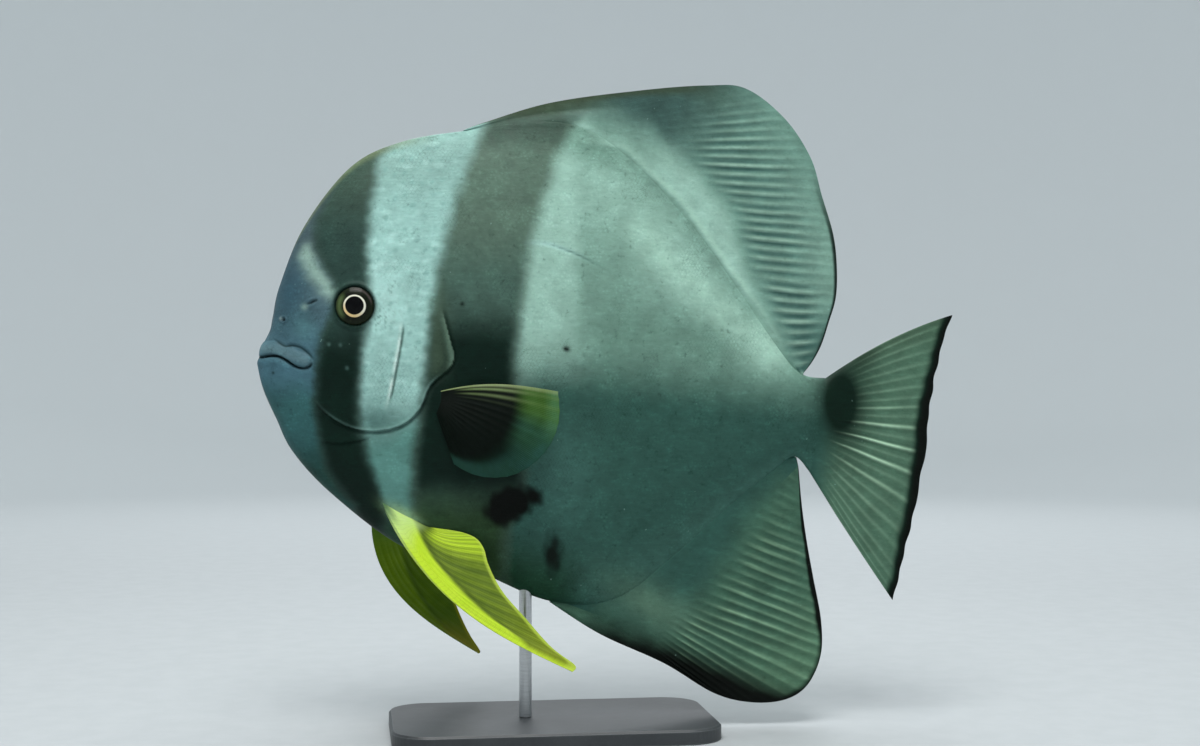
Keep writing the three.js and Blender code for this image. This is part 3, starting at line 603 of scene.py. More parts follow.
BAR_HIGH, BAR_MID, BAR_DARK, BLACK = rgb(56, 80, 69), rgb(40, 66, 60), rgb(4, 30, 22), rgb(3, 8, 4)
BAND_HIGH, BAND_MID = rgb(82, 109, 95), rgb(64, 94, 84)
BAND_PALE, BAND_LOW = rgb(98, 130, 112), rgb(36, 64, 30)
OLIVE, OLIVE_RIM, PELVIC_PALE = rgb(60, 76, 56), rgb(108, 124, 86), rgb(160, 200, 140)
FIN_SLATE, FIN_VALLEY, FIN_RAY_HIGHLIGHT = rgb(52, 82, 78), rgb(54, 94, 88), rgb(140, 180, 162)
FIN_OUTER, FIN_OUTER_PALE = rgb(106, 150, 136), rgb(128, 170, 154)
ANAL_TONE, ANAL_BRIGHT, ANAL_FRONT = rgb(66, 106, 86), rgb(90, 134, 104), rgb(84, 122, 102)
ANAL_EDGE, ANAL_RAY_SHADE, ANAL_RAY_HIGHLIGHT = rgb(56, 100, 90), rgb(40, 74, 60), rgb(130, 174, 140)
CAUDAL_TONE, CAUDAL_RIDGE, CAUDAL_DARK = rgb(76, 114, 93), rgb(172, 216, 182), rgb(4, 30, 20)

tone = np.ones((len(left), 3)) * PALE


def lay(colour, amount):
    global tone
    tone = mix(tone, colour, np.clip(amount, 0, 1)[:, None])


# Flank: pale above, darker below a line that runs along the middle as painted shade of light from above, with
# the muscle band showing paler
lay(PALE_REAR, rise(wx, 130, 190))
lay(PALE_TOP, rise(wz, 88, 132) * fall(wx, 150, 190))
lay(PALE_BRIGHT, spot(84, 36, 15, 1.2, 1.5) * 0.85)
mottled = fall(wx, 118, 150) * rise(wz, -44, -10)
lay(PALE_BRIGHT, rise(ripple(x, z * 1.4, 15, 42), 0.1, 1.1) * mottled * mix(0.8, 0.3, rise(wz, 70, 110)))
lay(MOTTLE, rise(ripple(x, z * 1.3, 10, 43), 0.3, 1.2) * mottled * 0.5)
lay(MOTTLE_DARK, spot(81, 26, 8, 1, 1.1) * rise(ripple(x * 1.2, z, 3.6, 41), 0, 0.8) * 0.75)
# Painted shade: the rear flank darker below the shade line
lay(PALE_SHADE, rise(wx, 196, 245) * rise(shade_z + 90 - wz, 0, 62))
lay(PALE_SHADE, span(wx, 214, 228, 246, 304) * bell(wz - 62, 46) * 0.7)
# Painted shade in the fold below the crease and along the back by the dorsal fin's base
crease_under = rise(-crease, -1, 3) * np.exp(np.minimum(crease, 0) / 18)
lay(CREASE_SHADE, crease_under * rise(wx, 208, 228) * (1 - 0.5 * rise(wx, 320, 370)) * 0.9)
lay(PALE_SHADE, on_body * span(wx, 196, 215, 236, 268) * fall(along, 0.02, 0.09) * 0.9)
# Painted shade: the flank and the lower head darker below the shade line
lay(LOWER, rise(shade_z + 22 - wz, 0, 46))
lay(LOWER_HEAD, rise(shade_z + 14 - wz, 0, 34) * fall(wx, 104, 134))
lay(LOWER_CHEEK, spot(79, -44, 13, 1.5) * 0.75 * before)
lay(LOWER_FLANK, spot(208, -84, 22, 1.1, 1.7) * 0.75)
lay(PALE_MUSCLE_AND_HIGHLIGHT, muscle * 0.75 * rise(wx, 232, 280) * rise(wz, -34, 0) * (1 + 0.3 * ripple(x, z, 22, 45)))
lay(PALE_MUSCLE_AND_HIGHLIGHT, on_body * dot(363, 6, 20, 1, 1 / 1.2) * 0.8)
lay(BELLY_TONE, on_body * rise(along, 0.84, 0.98) * span(wx, 126, 160, 200, 240) * 0.85)
lay(PELVIC_BASE, on_body * rise(along, 0.9, 0.97) * span(wx, 72, 86, 108, 130) * 0.9)
lay(ANAL_EDGE, on_body * rise(along, 0.84, 0.99) * rise(wx, 212, 250) * 0.95)

# Face
face = rise(BAR1_FRONT(wz) + 9 - wx, 0, 10)
lay(SLATE, face)
lay(SLATE_HIGH, face * rise(wz, 56, 82))
lay(SLATE_MID, face * fall(wz, -6, 44))
lay(SLATE_DEEP, face * fall(wz, -36, -8))
lay(BROW, face * spot(20, 44, 16, 1, 1.8) * 0.75)
lay(SNOUT, face * spot(31, 20, 9) * 0.45)
lay(THROAT, face * fall(wz, -84, -50) * 0.75)
face_d, _, _ = near(FACE_PATCH, 40)
lay(FACE_PALE, bell(face_d + 1.2 * ripple(x, z, 9, 46), 6) * 0.8)
lay(LIP, bell(lip_d, 4.4) * 0.7)

# Bars, then the dark blotches
lay(BAR_HIGH, bar1)
lay(BAR_MID, bar1 * fall(wz, 76, 126))
lay(BAR_DARK, bar1 * fall(wz, -6, 34))
lay(BAND_HIGH, bar2)
lay(BAND_PALE, bar2 * rise(ripple(x, z * 1.2, 7, 47), 0.2, 1.2) * rise(wz, -10, 30) * 0.3)
lay(BAR_HIGH, bar2 * rise(wz, 140, 160))
lay(BAND_MID, bar2 * fall(wz, 46, 96) * 0.95)
lay(BAR_DARK, bar2 * fall(wz, 6, 46) * rise(wz, -124, -80))
lay(GILL_OLIVE, bell(wx - 120, 8) * span(wz, -24, 0, 40, 66) * bar2 * 0.75)
lay(BAND_LOW, bar2 * fall(wz, -118, -84) * 0.9)
lay(OLIVE_RIM, on_body * fall(along, 0.004, 0.03) * rise(z, 64, 90) * fall(x, 92, 130) * 0.55)
ragged = 1.3 * ripple(x, z, 10, 44)
blotch = np.hypot((wx - 172) / 1.3, wz + 105 - 0.25 * (wx - 172)) + ragged
lay(BLACK, fall(blotch, 9.5, 17.5))
lay(BLACK, fall(np.hypot(wx - 189, wz + 98) + ragged, 2, 11))
lay(BLACK, fall(np.hypot((wx - 204) * 1.4, (wz + 140) * 0.62) + ragged, 2, 14) * 0.95)
lay(BLACK, bell(np.hypot(wx - 212.1, z - 4.9), 1.9) * 1.2)
lay(BLACK, bell(np.hypot(wx - 138.7, z - 35.9), 1.5))
pelvic_root = np.hypot((x - 98) * 0.42 - (z + 110) * 0.2, (z + 110) + (x - 98) * 0.55)
lay(PELVIC_PALE, bell(pelvic_root, 5.5) * 0.7)

# Lines of the head and flank
gill = gill_d * gill_side
# Painted highlight along the gill cover's edge, and painted shade in the groove behind it
lay(PALE, bell(gill + 1.2, 0.9) * gill_on * rise(gill_t, 0.3, 0.45) * 0.35 * (1 - 0.75 * bar1))
lay(BAR_DARK, bell(gill - 1.3, 1.2) * gill_on * 0.6)
# Painted highlight on the preopercle's ridge, and painted shade in its groove and in the throat fold's groove
lay(GLINT, bell(pre_d * pre_side + 1.1, 1.1) * pre_on * (0.6 + 0.3 * ripple(x, z, 14, 48)))
lay(BAR_DARK, bell(pre_d * pre_side - 0.8, 0.8) * pre_on * 0.7)
lay(BAR_DARK, bell(fold_d * -fold_side - 0.9, 1.3) * fold_on * 0.7)
flap_d, flap_t, _ = near(GILL_FLAP, 14)
lay(GILL_EDGE, bell(flap_d, 2.6) * span(flap_t, 0, 0.2, 0.8, 1) * 0.8 * before)
# Painted shade in the mouth's slit, the lip groove and the nostrils
lay(BLACK, bell(mouth_d, 0.95) * fall(mouth_t, 0.95, 1) * 0.9)
lay(BAR_DARK, bell(groove_d, 0.8) * groove_on * 0.65)
lay(BLACK, bell(rear_d, 0.85) * 0.75 * rise(rear_t, 0.3, 0.65))
lay(BLACK, bell(front_d, 0.9) * 0.8)
# Painted highlights on the folds beside the nostrils
lay(FACE_PALE, dot(31, 33.6, 2.2) * 0.5)
lay(NOSTRIL_HIGHLIGHT, dot(NOSTRIL_FRONT[0] - 1.6, NOSTRIL_FRONT[1] + 1, 1.1) * 0.6)
# Painted highlights on the pores
for pore in PORES[:3]:
    lay(PORE, dot(*pore, 1.2) * 0.42)
lay(BAR_DARK, dot(*PORES[3], 0.9) * 0.8)
# Painted shade in the recess around the eye
lay(BAR_DARK, bell(eye_d - 14, 1.6) * 0.75 * on_body)
lay(LOWER, lateral * mix(0.15, 0.8, bell(x - 214, 18)))
beside = bell(lateral_d - 0.9, 1.1) * rise(lateral_t, 0.13, 0.2) * on_body
lay(PALE_BRIGHT, beside * bell(x - 200, 17) * 0.6)
# Painted highlight along the upper lip of the crease
lay(PALE_REAR, bell(crease - 6, 7) * crease_on * 0.55)
lay(PALE_MUSCLE_AND_HIGHLIGHT, bell(crease - 1.6, 2.2) * crease_on * 0.75)

# Median fins; painted shade makes the membrane darkest just below each ray, and painted highlights run along
# the dorsal and anal rays
below = np.where(in_anal, -ray, ray) % 1
shaded = rise(below, 0.08, 0.24) * (1 - 0.75 * rise(below, 0.42, 0.95))
soft = mix(34, 15, rise(wx, 262, 312))
base_d = in_dorsal * rise(beyond_d + 0.6 * soft, 0, soft) * rise(wx, 196, 226)
lay(CREASE_SHADE, in_dorsal * rise(beyond_d, -36, -10) * span(wx, 222, 240, 262, 300) * 0.6)
lay(FIN_OUTER, base_d)
lay(FIN_OUTER_PALE, base_d * rise(along, 0.55, 0.85) * rise(x, 330, 366) * bell(z - 70, 50) * 0.5)
lay(FIN_VALLEY, base_d * rise(along, 0.3, 0.7) * fall(z, 10, 44) * 0.75)
# Painted shade just below each dorsal ray, then a painted highlight along each ray
lay(FIN_VALLEY, base_d * shaded * ray_on * (1 - 0.85 * rise(along, 0.6, 0.96)) * strength * 1.05)
lay(FIN_RAY_HIGHLIGHT, in_dorsal * np.clip(ray_height, 0, 1) ** 1.6 * 0.95)
lay(FIN_SLATE, base_d * fall(wx - wz * 0.9, 128, 214) * 0.95)
lay(OLIVE, in_dorsal * rise(along, 0.62, 0.92) * fall(wx, 292, 352) * 0.8)
lay(OLIVE, in_dorsal * rise(along, 0.1, 0.6) * span(wx, 160, 184, 222, 260) * 0.75)
base_a = in_anal * rise(beyond_a, -12, 22)
lay(LOWER, in_anal.astype(float))
lay(ANAL_TONE, base_a * 0.9)
lay(ANAL_BRIGHT, base_a * rise(x - z, 530, 620) * 0.8)
lay(ANAL_FRONT, bell((wx - 285) * 0.45 + wz + 183, 16) * bell(wx - 280, 34) * 0.9)
# Painted shade just below each anal ray, then a painted highlight along each ray
lay(ANAL_RAY_SHADE, base_a * shaded * ray_on * fade * 0.6)
lay(ANAL_RAY_HIGHLIGHT, in_anal * np.clip(shown, 0, 1) ** 2.8)
lay(CAUDAL_TONE, in_caudal * rise(along, 0, 0.3))
lay(OLIVE, in_caudal * fall(ray, 0, 3.5) * 0.45)
# Painted shade just below each caudal ray
lay(CAUDAL_DARK, in_caudal * shaded * ray_on * mix(0.12, 0.3, middle))
lay(CAUDAL_RIDGE, in_caudal * ray_height * 1.1)
lay(CAUDAL_DARK, dot(415, -33, 16, 1 / 0.85, 2) * 1.4)
lay(CAUDAL_DARK, dot(430, -4, 13, 1, 1 / 0.7) * 0.4)

# Dark margins, then the whole tone made cloudy and a little greyer and warmer
rim_c = 0.915 - 0.045 * bell(ray - 11, 6) - 0.008 * uneven
lay(CAUDAL_DARK, in_caudal * rise(along - rim_c, -0.02, 0.05))
lay(BLACK, in_caudal * rise(along - rim_c, 0.02, 0.08))
lay(BLACK, in_dorsal * rise(along, 0.962, 0.985) * 0.95 * fall(z, 80, 150))
lay(BLACK, in_dorsal * rise(along, 0.9, 0.985) * 0.9 * fall(z, 4, 30))
rim_a = mix(0.965, 0.94, rise(z, -215, -170))
lay(BLACK, in_anal * rise(along + 0.012 * uneven - rim_a, 0, 0.03))
black_z = np.interp(wx, [200, 239, 275, 312, 341, 370, 388], [-190, -191, -200, -214, -227, -238, -246])
lay(BLACK, in_anal * rise(black_z + 9 - wz, 0, 22))
cloud = 1 + 0.055 * ripple(x, z, 34, 21) + 0.05 * ripple(x, z, 13, 22) + 0.03 * ripple(x, z, 5.5, 23)
LUMA, GREYER, WARMER = (0.21, 0.72, 0.07), 0.1, (1.06, 1, 0.985)
grey = (tone * LUMA).sum(1, keepdims=True)
tone = mix(tone, grey, GREYER) * cloud[:, None] * WARMER


def make_mesh(name, p, four, three, attributes={}, colours={}):
    """A smooth-shaded piece with numbers and colours kept at its vertices."""
    mesh = bpy.data.meshes.new(name)
    mesh.vertices.add(len(p))
    mesh.vertices.foreach_set("co", np.ascontiguousarray(p, np.float32).ravel())
    corners = np.concatenate([four.ravel(), three.ravel()]).astype(np.int32)
    totals = np.concatenate([np.full(len(four), 4), np.full(len(three), 3)])
    mesh.loops.add(len(corners))
    mesh.loops.foreach_set("vertex_index", corners)
    mesh.polygons.add(len(totals))
    mesh.polygons.foreach_set("loop_start", (np.cumsum(totals) - totals).astype(np.int32))
    mesh.update(calc_edges=True)
    mesh.validate()
    for key, values in attributes.items():
        mesh.attributes.new(key, "FLOAT", "POINT").data.foreach_set("value", values.astype(np.float32))
    for key, values in colours.items():
        rgba = np.concatenate([values, np.ones((len(values), 1))], 1).astype(np.float32)
        mesh.attributes.new(key, "FLOAT_COLOR", "POINT").data.foreach_set("color", rgba.ravel())
    mesh.shade_smooth()
    mesh.set_sharp_from_angle(angle=math.radians(SHARP_ANGLE))
    piece = bpy.data.objects.new(name, mesh)
    bpy.context.scene.collection.objects.link(piece)
    return piece


def to_world(p):
    """From the fish's frame in millimetres to metres over the stand, with the tail swung."""
    world = np.array(p, float)
    world[:, 1] += SWING * np.maximum(0, (world[:, 0] - SWING_FROM) / SWING_LENGTH) ** 2
    return (world + (-SNOUT_AHEAD, 0, SNOUT_HEIGHT)) / 1000


skin = make_mesh(
    "fish_skin",
    to_world(points + normals * relief[source, None]),
    four,
    three,
    {"across": x[source], "height": z[source], "body": on_body[source].astype(float)},
    {"tone": tone[source]},
)
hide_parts("head", "torso", "tail", "fin_dorsal", "fin_anal", "fin_caudal")
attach(skin, "root")


# Paired fins: closed ribbed sheets
SIDES = {-1: "left", 1: "right"}


def sheet(name, count, steps, point, normal, half, rays, ridge, colour):
    """A thin fin from its middle surface over u across the rays and t from the root to the margin."""
    u, t = np.meshgrid(np.linspace(0, 1, count + 1), np.linspace(-0.05, 1, steps + 1), indexing="ij")
    wave = ray_wave(u * rays) * rise(t, 0.1, 0.3)
    thick = normal * (half(u, t) + ridge * wave * (1 - 0.6 * t))[..., None]
    p = np.concatenate([(point(u, t) + thick).reshape(-1, 3), (point(u, t) - thick).reshape(-1, 3)])
    index = np.arange(u.size).reshape(u.shape)
    loop = np.concatenate([index[0, :-1], index[:-1, -1], index[-1, :0:-1], index[:0:-1, 0]])
    following = np.roll(loop, -1)
    edge = np.stack([loop, following, following + u.size, loop + u.size], -1)
    faces = np.concatenate([quads(index, False), quads(index + u.size, True), edge])
    across = np.cross(p[faces[:, 1]] - p[faces[:, 0]], p[faces[:, 2]] - p[faces[:, 0]])
    if (p[faces].mean(1) * across).sum() < 0:
        faces = faces[:, ::-1]
    ray, out = (np.tile(values.ravel(), 2) for values in (u * rays, t))
    tone = np.tile(colour(u, t, wave).reshape(-1, 3), (2, 1))
    no_faces = np.zeros((0, 3), int)
    return make_mesh(name, to_world(p), faces, no_faces, {"ray": ray, "out": out}, {"tone": tone})


def colour_mix(first, *layers):
    """Colours laid over each other: the first in full, the rest by their amounts."""
    base = first * np.ones(layers[0][1].shape + (3,))
    for colour, amount in layers:
        base = mix(base, colour, np.clip(amount, 0, 1)[..., None])
    return base


PECTORAL_ROOT = ((124, -24.5), (121.3, -38.8))
PECTORAL_LENGTH = [84, 87, 84, 74, 58, 38]
PECTORAL_FALL = [0, 12, 25, 40, 55, 72]
PECTORAL_SPREAD = 24
PECTORAL_ARCH, PECTORAL_CUP, PECTORAL_BEND = 5, 2.2, 3
PECTORAL_RAYS = 15


def pectoral(side):
    spread = math.radians(PECTORAL_SPREAD)
    outward = np.array([math.cos(spread), side * math.sin(spread), 0])
    normal = np.array([-math.sin(spread), side * math.cos(spread), 0])
    last = len(PECTORAL_LENGTH) - 1

    def point(u, t):
        x, z = np.moveaxis(mix(*np.array(PECTORAL_ROOT), u[..., None]), -1, 0)
        angle = np.radians(track(PECTORAL_FALL)(u * last)[..., 0])
        reach = track(PECTORAL_LENGTH)(u * last)[..., 0] * t
        reach = reach * (1 - 0.003 * (1 - ray_wave(u * PECTORAL_RAYS)) * rise(t, 0.8, 1))
        p = np.stack([x, side * (flank_at(x, z) - 1), z], -1) + outward * (np.cos(angle) * reach)[..., None]
        inside = np.clip(t, 0, 1)
        p[..., 2] += PECTORAL_ARCH * np.sin(np.pi * inside**0.9) * (1 - u) ** 1.6 - np.sin(angle) * reach
        cup = PECTORAL_CUP * np.sin(np.pi * inside) * np.sin(np.pi * u)
        return p + normal * (cup - PECTORAL_BEND * inside * t)[..., None]

    def half(u, t):
        return mix(1.6, 0.3, rise(t, 0, 0.5))

    def colour(u, t, wave):
        low, lowest = rise(u, 0.14, 0.32)[..., None], rise(u, 0.34, 0.56)[..., None]
        dark = mix(rgb(6, 28, 19), rgb(32, 66, 58), rise(t, 0.72, 0.88)[..., None])
        outer = mix(mix(rgb(62, 96, 40), rgb(40, 76, 58), low), dark, lowest)
        tip = mix(rgb(76, 120, 80), rgb(42, 82, 74), rise(u, 0.16, 0.4)[..., None])
        return colour_mix(
            rgb(2, 12, 6),
            (outer, rise(t - 0.08 * u, 0.6, 0.76)),
            (tip, rise(t, 0.86, 0.97) * fall(u, 0.4, 0.6) * 0.8),
            (outer * 1.5, wave * 0.3 * rise(t, 0.6, 0.8) * fall(u, 0.3, 0.5)),
            (rgb(128, 146, 100), wave * fall(u, 0.06, 0.22) * (1 - 0.8 * rise(t, 0.5, 0.85)) * 0.85),
            (rgb(176, 190, 140), fall(u, 0.015, 0.05) * (1 - 0.6 * t) * 0.9),
        )

    return sheet("pectoral_" + SIDES[side], 150, 80, point, normal, half, PECTORAL_RAYS, 0.28, colour)


# Pelvic fins: root and margin in the side view, bow of the front edge, and how far out the tip stands
PELVIC_RAYS = 9
PELVIC_LEFT = {
    "root": ((84, -102), (115, -119.5)),
    "margin": [
        (213.5, -217.5), (215, -213), (199.5, -201.1), (181.5, -180.9), (166.5, -163.3), (157.5, -146),
        (154.2, -134.5), (149.2, -127.4), (140.5, -123.4), (130, -121.4),
    ],
    "bow": 18.5, "rise": 0.9, "out": 50,
    "bright": rgb(208, 236, 62), "deep": rgb(94, 114, 42), "rim": rgb(200, 220, 88),
    "tip": rgb(146, 158, 42), "base": rgb(218, 244, 172),
}
# The right fin's colours are darker copies of the left's: painted shade of the far fin behind the body
PELVIC_RIGHT = {
    "root": ((80, -101), (112, -121)),
    "margin": [
        (160.2, -227.4), (160.8, -224.6), (152, -210), (143, -191), (137, -174), (135, -157), (134, -142),
    ],
    "bow": 25, "rise": 0.8, "out": 106,
    "bright": rgb(98, 126, 8), "deep": rgb(76, 104, 6), "rim": rgb(150, 146, 16),
    "tip": rgb(160, 148, 10), "base": rgb(72, 112, 44),
}


def pelvic(side, pose):
    front, rear = (np.array(p, float) for p in pose["root"])
    margin = track(pose["margin"])
    last = len(pose["margin"]) - 1
    normal = np.array([0.25, side, 0.15])
    normal = normal / np.linalg.norm(normal)
    longest = np.linalg.norm(margin(0.0) - front)

    def point(u, t):
        root = mix(front, rear, u[..., None])
        way = margin(u * last) - root
        length = np.linalg.norm(way, axis=-1)
        square = np.stack([way[..., 1], -way[..., 0]], -1) / length[..., None]
        bow = np.where(t > 0, pose["bow"] * np.sin(np.pi * np.clip(t, 0, 1) ** pose["rise"]) * (1 - u), 0)
        p = root + way * t[..., None] + square * bow[..., None]
        root_out = flank_at(root[..., 0], root[..., 1]) - 1.5
        y = root_out + (pose["out"] - root_out) * length / longest * t - 70 * np.clip(-t, 0, 1)
        return np.stack([p[..., 0], side * y, p[..., 1]], -1)

    def half(u, t):
        return (1 + 1.3 * bell(u * 6, 1) * rise(t, 0, 0.15)) * mix(1.5, 0.35, rise(t, 0, 0.6))

    def colour(u, t, wave):
        bright, deep, rim, tip, base = (pose[key] for key in ("bright", "deep", "rim", "tip", "base"))
        inside = np.clip(t, 0, 1)
        fold = 0.045 + 0.62 * np.clip(1 - inside / 0.8, 0, 1) ** 0.8
        streak = 0.5 + 0.5 * np.sin(math.tau * u * PELVIC_RAYS * 2.2 + 2 * np.sin(5 * t))
        lobe = rise(u, 0.52, 0.68) * rise(t, 0.16, 0.4)
        return colour_mix(
            deep,
            (bright, 0.05 * wave + 0.12 * streak * rise(t, 0.1, 0.3)),
            (tip, rise(inside * (1 - u), 0.5, 0.9) * 0.8),
            (bright, lobe * (0.45 + 0.45 * streak)),
            (bright, fall(u - fold, -0.05, 0.06) * (0.98 - 0.2 * streak * rise(t, 0.25, 0.6))),
            # Painted shade just behind the fold of the fin
            (deep * 0.6, bell(u - fold - 0.08, 0.04) * span(t, 0.05, 0.3, 0.6, 0.9) * 0.5),
            (rim, rise(t, 0.95, 0.985) * 0.8),
            (rim, rise(u, 0.96, 0.99) * rise(t, 0.1, 0.3) * 0.6),
            (base, fall(t, 0.05, 0.24) * fall(u, 0.5, 0.95) * 0.8),
            (rgb(70, 112, 84), fall(t, 0, 0.12) * fall(u, 0.04, 0.3) * 0.9),
        )

    return sheet("pelvic_" + SIDES[side], 120, 150, point, normal, half, PELVIC_RAYS, 0.4, colour)


pectorals = [pectoral(side) for side in SIDES]
for piece, name in zip(pectorals, SIDES.values()):
    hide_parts("fin_pectoral_" + name)
    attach(piece, "root")
pelvics = [pelvic(-1, PELVIC_LEFT), pelvic(1, PELVIC_RIGHT)]
for piece, name in zip(pelvics, SIDES.values()):
    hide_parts("fin_pelvic_" + name)
    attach(piece, "root")


# Eyes: one turned form each, a shallow dome in front and a deep bowl behind


def turned(profile, around):
    """Radius, height and angle of a profile turned once around."""
    angle = np.arange(around + 1) / around * math.tau
    profile = np.array(profile)
    return np.broadcast_arrays(profile[:, :1], profile[:, 1:], angle)


def eye(side):
    ball = (EYE_RADIUS**2 + EYE_DOME**2) / (2 * EYE_DOME)
    front = np.linspace(0, math.asin(EYE_RADIUS / ball), 90)
    rear = np.linspace(0, math.pi / 2, 30)[1:]
    profile = [(ball * math.sin(a), EYE_DOME - ball * (1 - math.cos(a))) for a in front]
    profile += [(EYE_RADIUS * math.cos(a), -EYE_DEPTH * math.sin(a)) for a in rear[:-1]] + [(0, -EYE_DEPTH)]
    radius, height, angle = turned(profile, 120)
    yaw = math.radians(EYE_YAW) * side
    x, y = radius * np.cos(angle), height * side
    x, y = x * math.cos(yaw) - y * math.sin(yaw), x * math.sin(yaw) + y * math.cos(yaw)
    centre_y = side * (flank_at(*EYE) - EYE_PROUD)
    p = np.stack([x + EYE[0], y + centre_y, radius * np.sin(angle) + EYE[1]], -1).reshape(-1, 3)
    first, four, three = join(p, quads(np.arange(len(p)).reshape(radius.shape), side > 0))
    looks = {"radius": radius, "turn_x": np.cos(angle), "turn_z": np.sin(angle)}
    looks = {key: values.ravel()[first] for key, values in looks.items()}
    return make_mesh("eye_ball_" + SIDES[side], to_world(p[first]), four, three, looks)


eyes = [eye(side) for side in SIDES]
for piece, name in zip(eyes, SIDES.values()):
    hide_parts("eye_" + name)
    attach(piece, "root")


# Materials


class Nodes:
    """Small helper to wire a material."""

    def __init__(self, name):
        self.material = bpy.data.materials.new(name)
        self.material.use_nodes = True
        self.tree = self.material.node_tree
        self.tree.nodes.clear()
        self.out = self.tree.nodes.new("ShaderNodeOutputMaterial")
        self.where = self.node("ShaderNodeTexCoord").outputs["Object"]

    def fill(self, socket, value):
        if isinstance(value, bpy.types.NodeSocket):
            self.tree.links.new(value, socket)
        else:
            socket.default_value = value

    def node(self, kind, inputs=None, **settings):
        made = self.tree.nodes.new(kind)
        for key, value in settings.items():
            setattr(made, key, value)
        for key, value in (inputs or {}).items():
            self.fill(made.inputs[key], value)
        return made

    def attribute(self, name, socket="Fac"):
        return self.node("ShaderNodeAttribute", attribute_name=name).outputs[socket]

    def math(self, operation, a, b=0.0):
        return self.node("ShaderNodeMath", {0: a, 1: b}, operation=operation).outputs[0]

    def times(self, a, b):
        return self.math("MULTIPLY", a, b)

    def plus(self, a, b):
        return self.math("ADD", a, b)

    def mix(self, factor, a, b, blend="MIX"):
        made = self.node("ShaderNodeMix", {0: factor}, data_type="RGBA", blend_type=blend)
        for key, colour in ((6, a), (7, b)):
            self.fill(made.inputs[key], colour if isinstance(colour, bpy.types.NodeSocket) else (*colour, 1))
        return made.outputs[2]

    def spread(self, value, low, high, to_low=0.0, to_high=1.0):
        inputs = {0: value, 1: low, 2: high, 3: to_low, 4: to_high}
        return self.node("ShaderNodeMapRange", inputs, interpolation_type="SMOOTHSTEP").outputs[0]

    def tint(self, base, *layers):
        """Lays colours over a base, each from one value of a pattern to another, up to an amount."""
        for value, low, high, amount, colour, blend in layers:
            base = self.mix(self.spread(value, low, high, 0.0, amount), base, colour, blend)
        return base

    def noise(self, scale, detail=3.0, roughness=0.6, where=None):
        inputs = {"Vector": where or self.where, "Scale": scale, "Detail": detail, "Roughness": roughness}
        return self.node("ShaderNodeTexNoise", inputs).outputs["Fac"]

    def stretched(self, *scale):
        return self.node("ShaderNodeMapping", {"Vector": self.where, "Scale": scale}).outputs[0]

    def bump(self, *layers):
        """Normal from layers of height, distance and strength."""
        normal = None
        for height, distance, strength in layers:
            inputs = {"Height": height, "Distance": distance, "Strength": strength}
            if normal is not None:
                inputs["Normal"] = normal
            normal = self.node("ShaderNodeBump", inputs).outputs[0]
        return normal

    def surface(self, colour, roughness, **inputs):
        shader = self.node("ShaderNodeBsdfPrincipled", {"Base Color": colour, "Roughness": roughness})
        for name, value in inputs.items():
            self.fill(shader.inputs[name.replace("_", " ")], value)
        self.fill(self.out.inputs["Surface"], shader.outputs[0])
        return self.material


def scales(n, across, height, length, width):
    """Rows of small overlapping scales: 1 at the free rear edge of a scale, falling towards its front."""
    row = n.math("DIVIDE", height, width)
    shift = n.math("ABSOLUTE", n.times(n.math("MODULO", n.math("FLOOR", row), 2.0), 0.5))
    fx = n.math("FRACT", n.plus(n.math("DIVIDE", across, length), shift))
    fz = n.math("SUBTRACT", n.math("FRACT", row), 0.5)
    return n.math("FRACT", n.plus(fx, n.times(n.times(fz, fz), 1.6)))


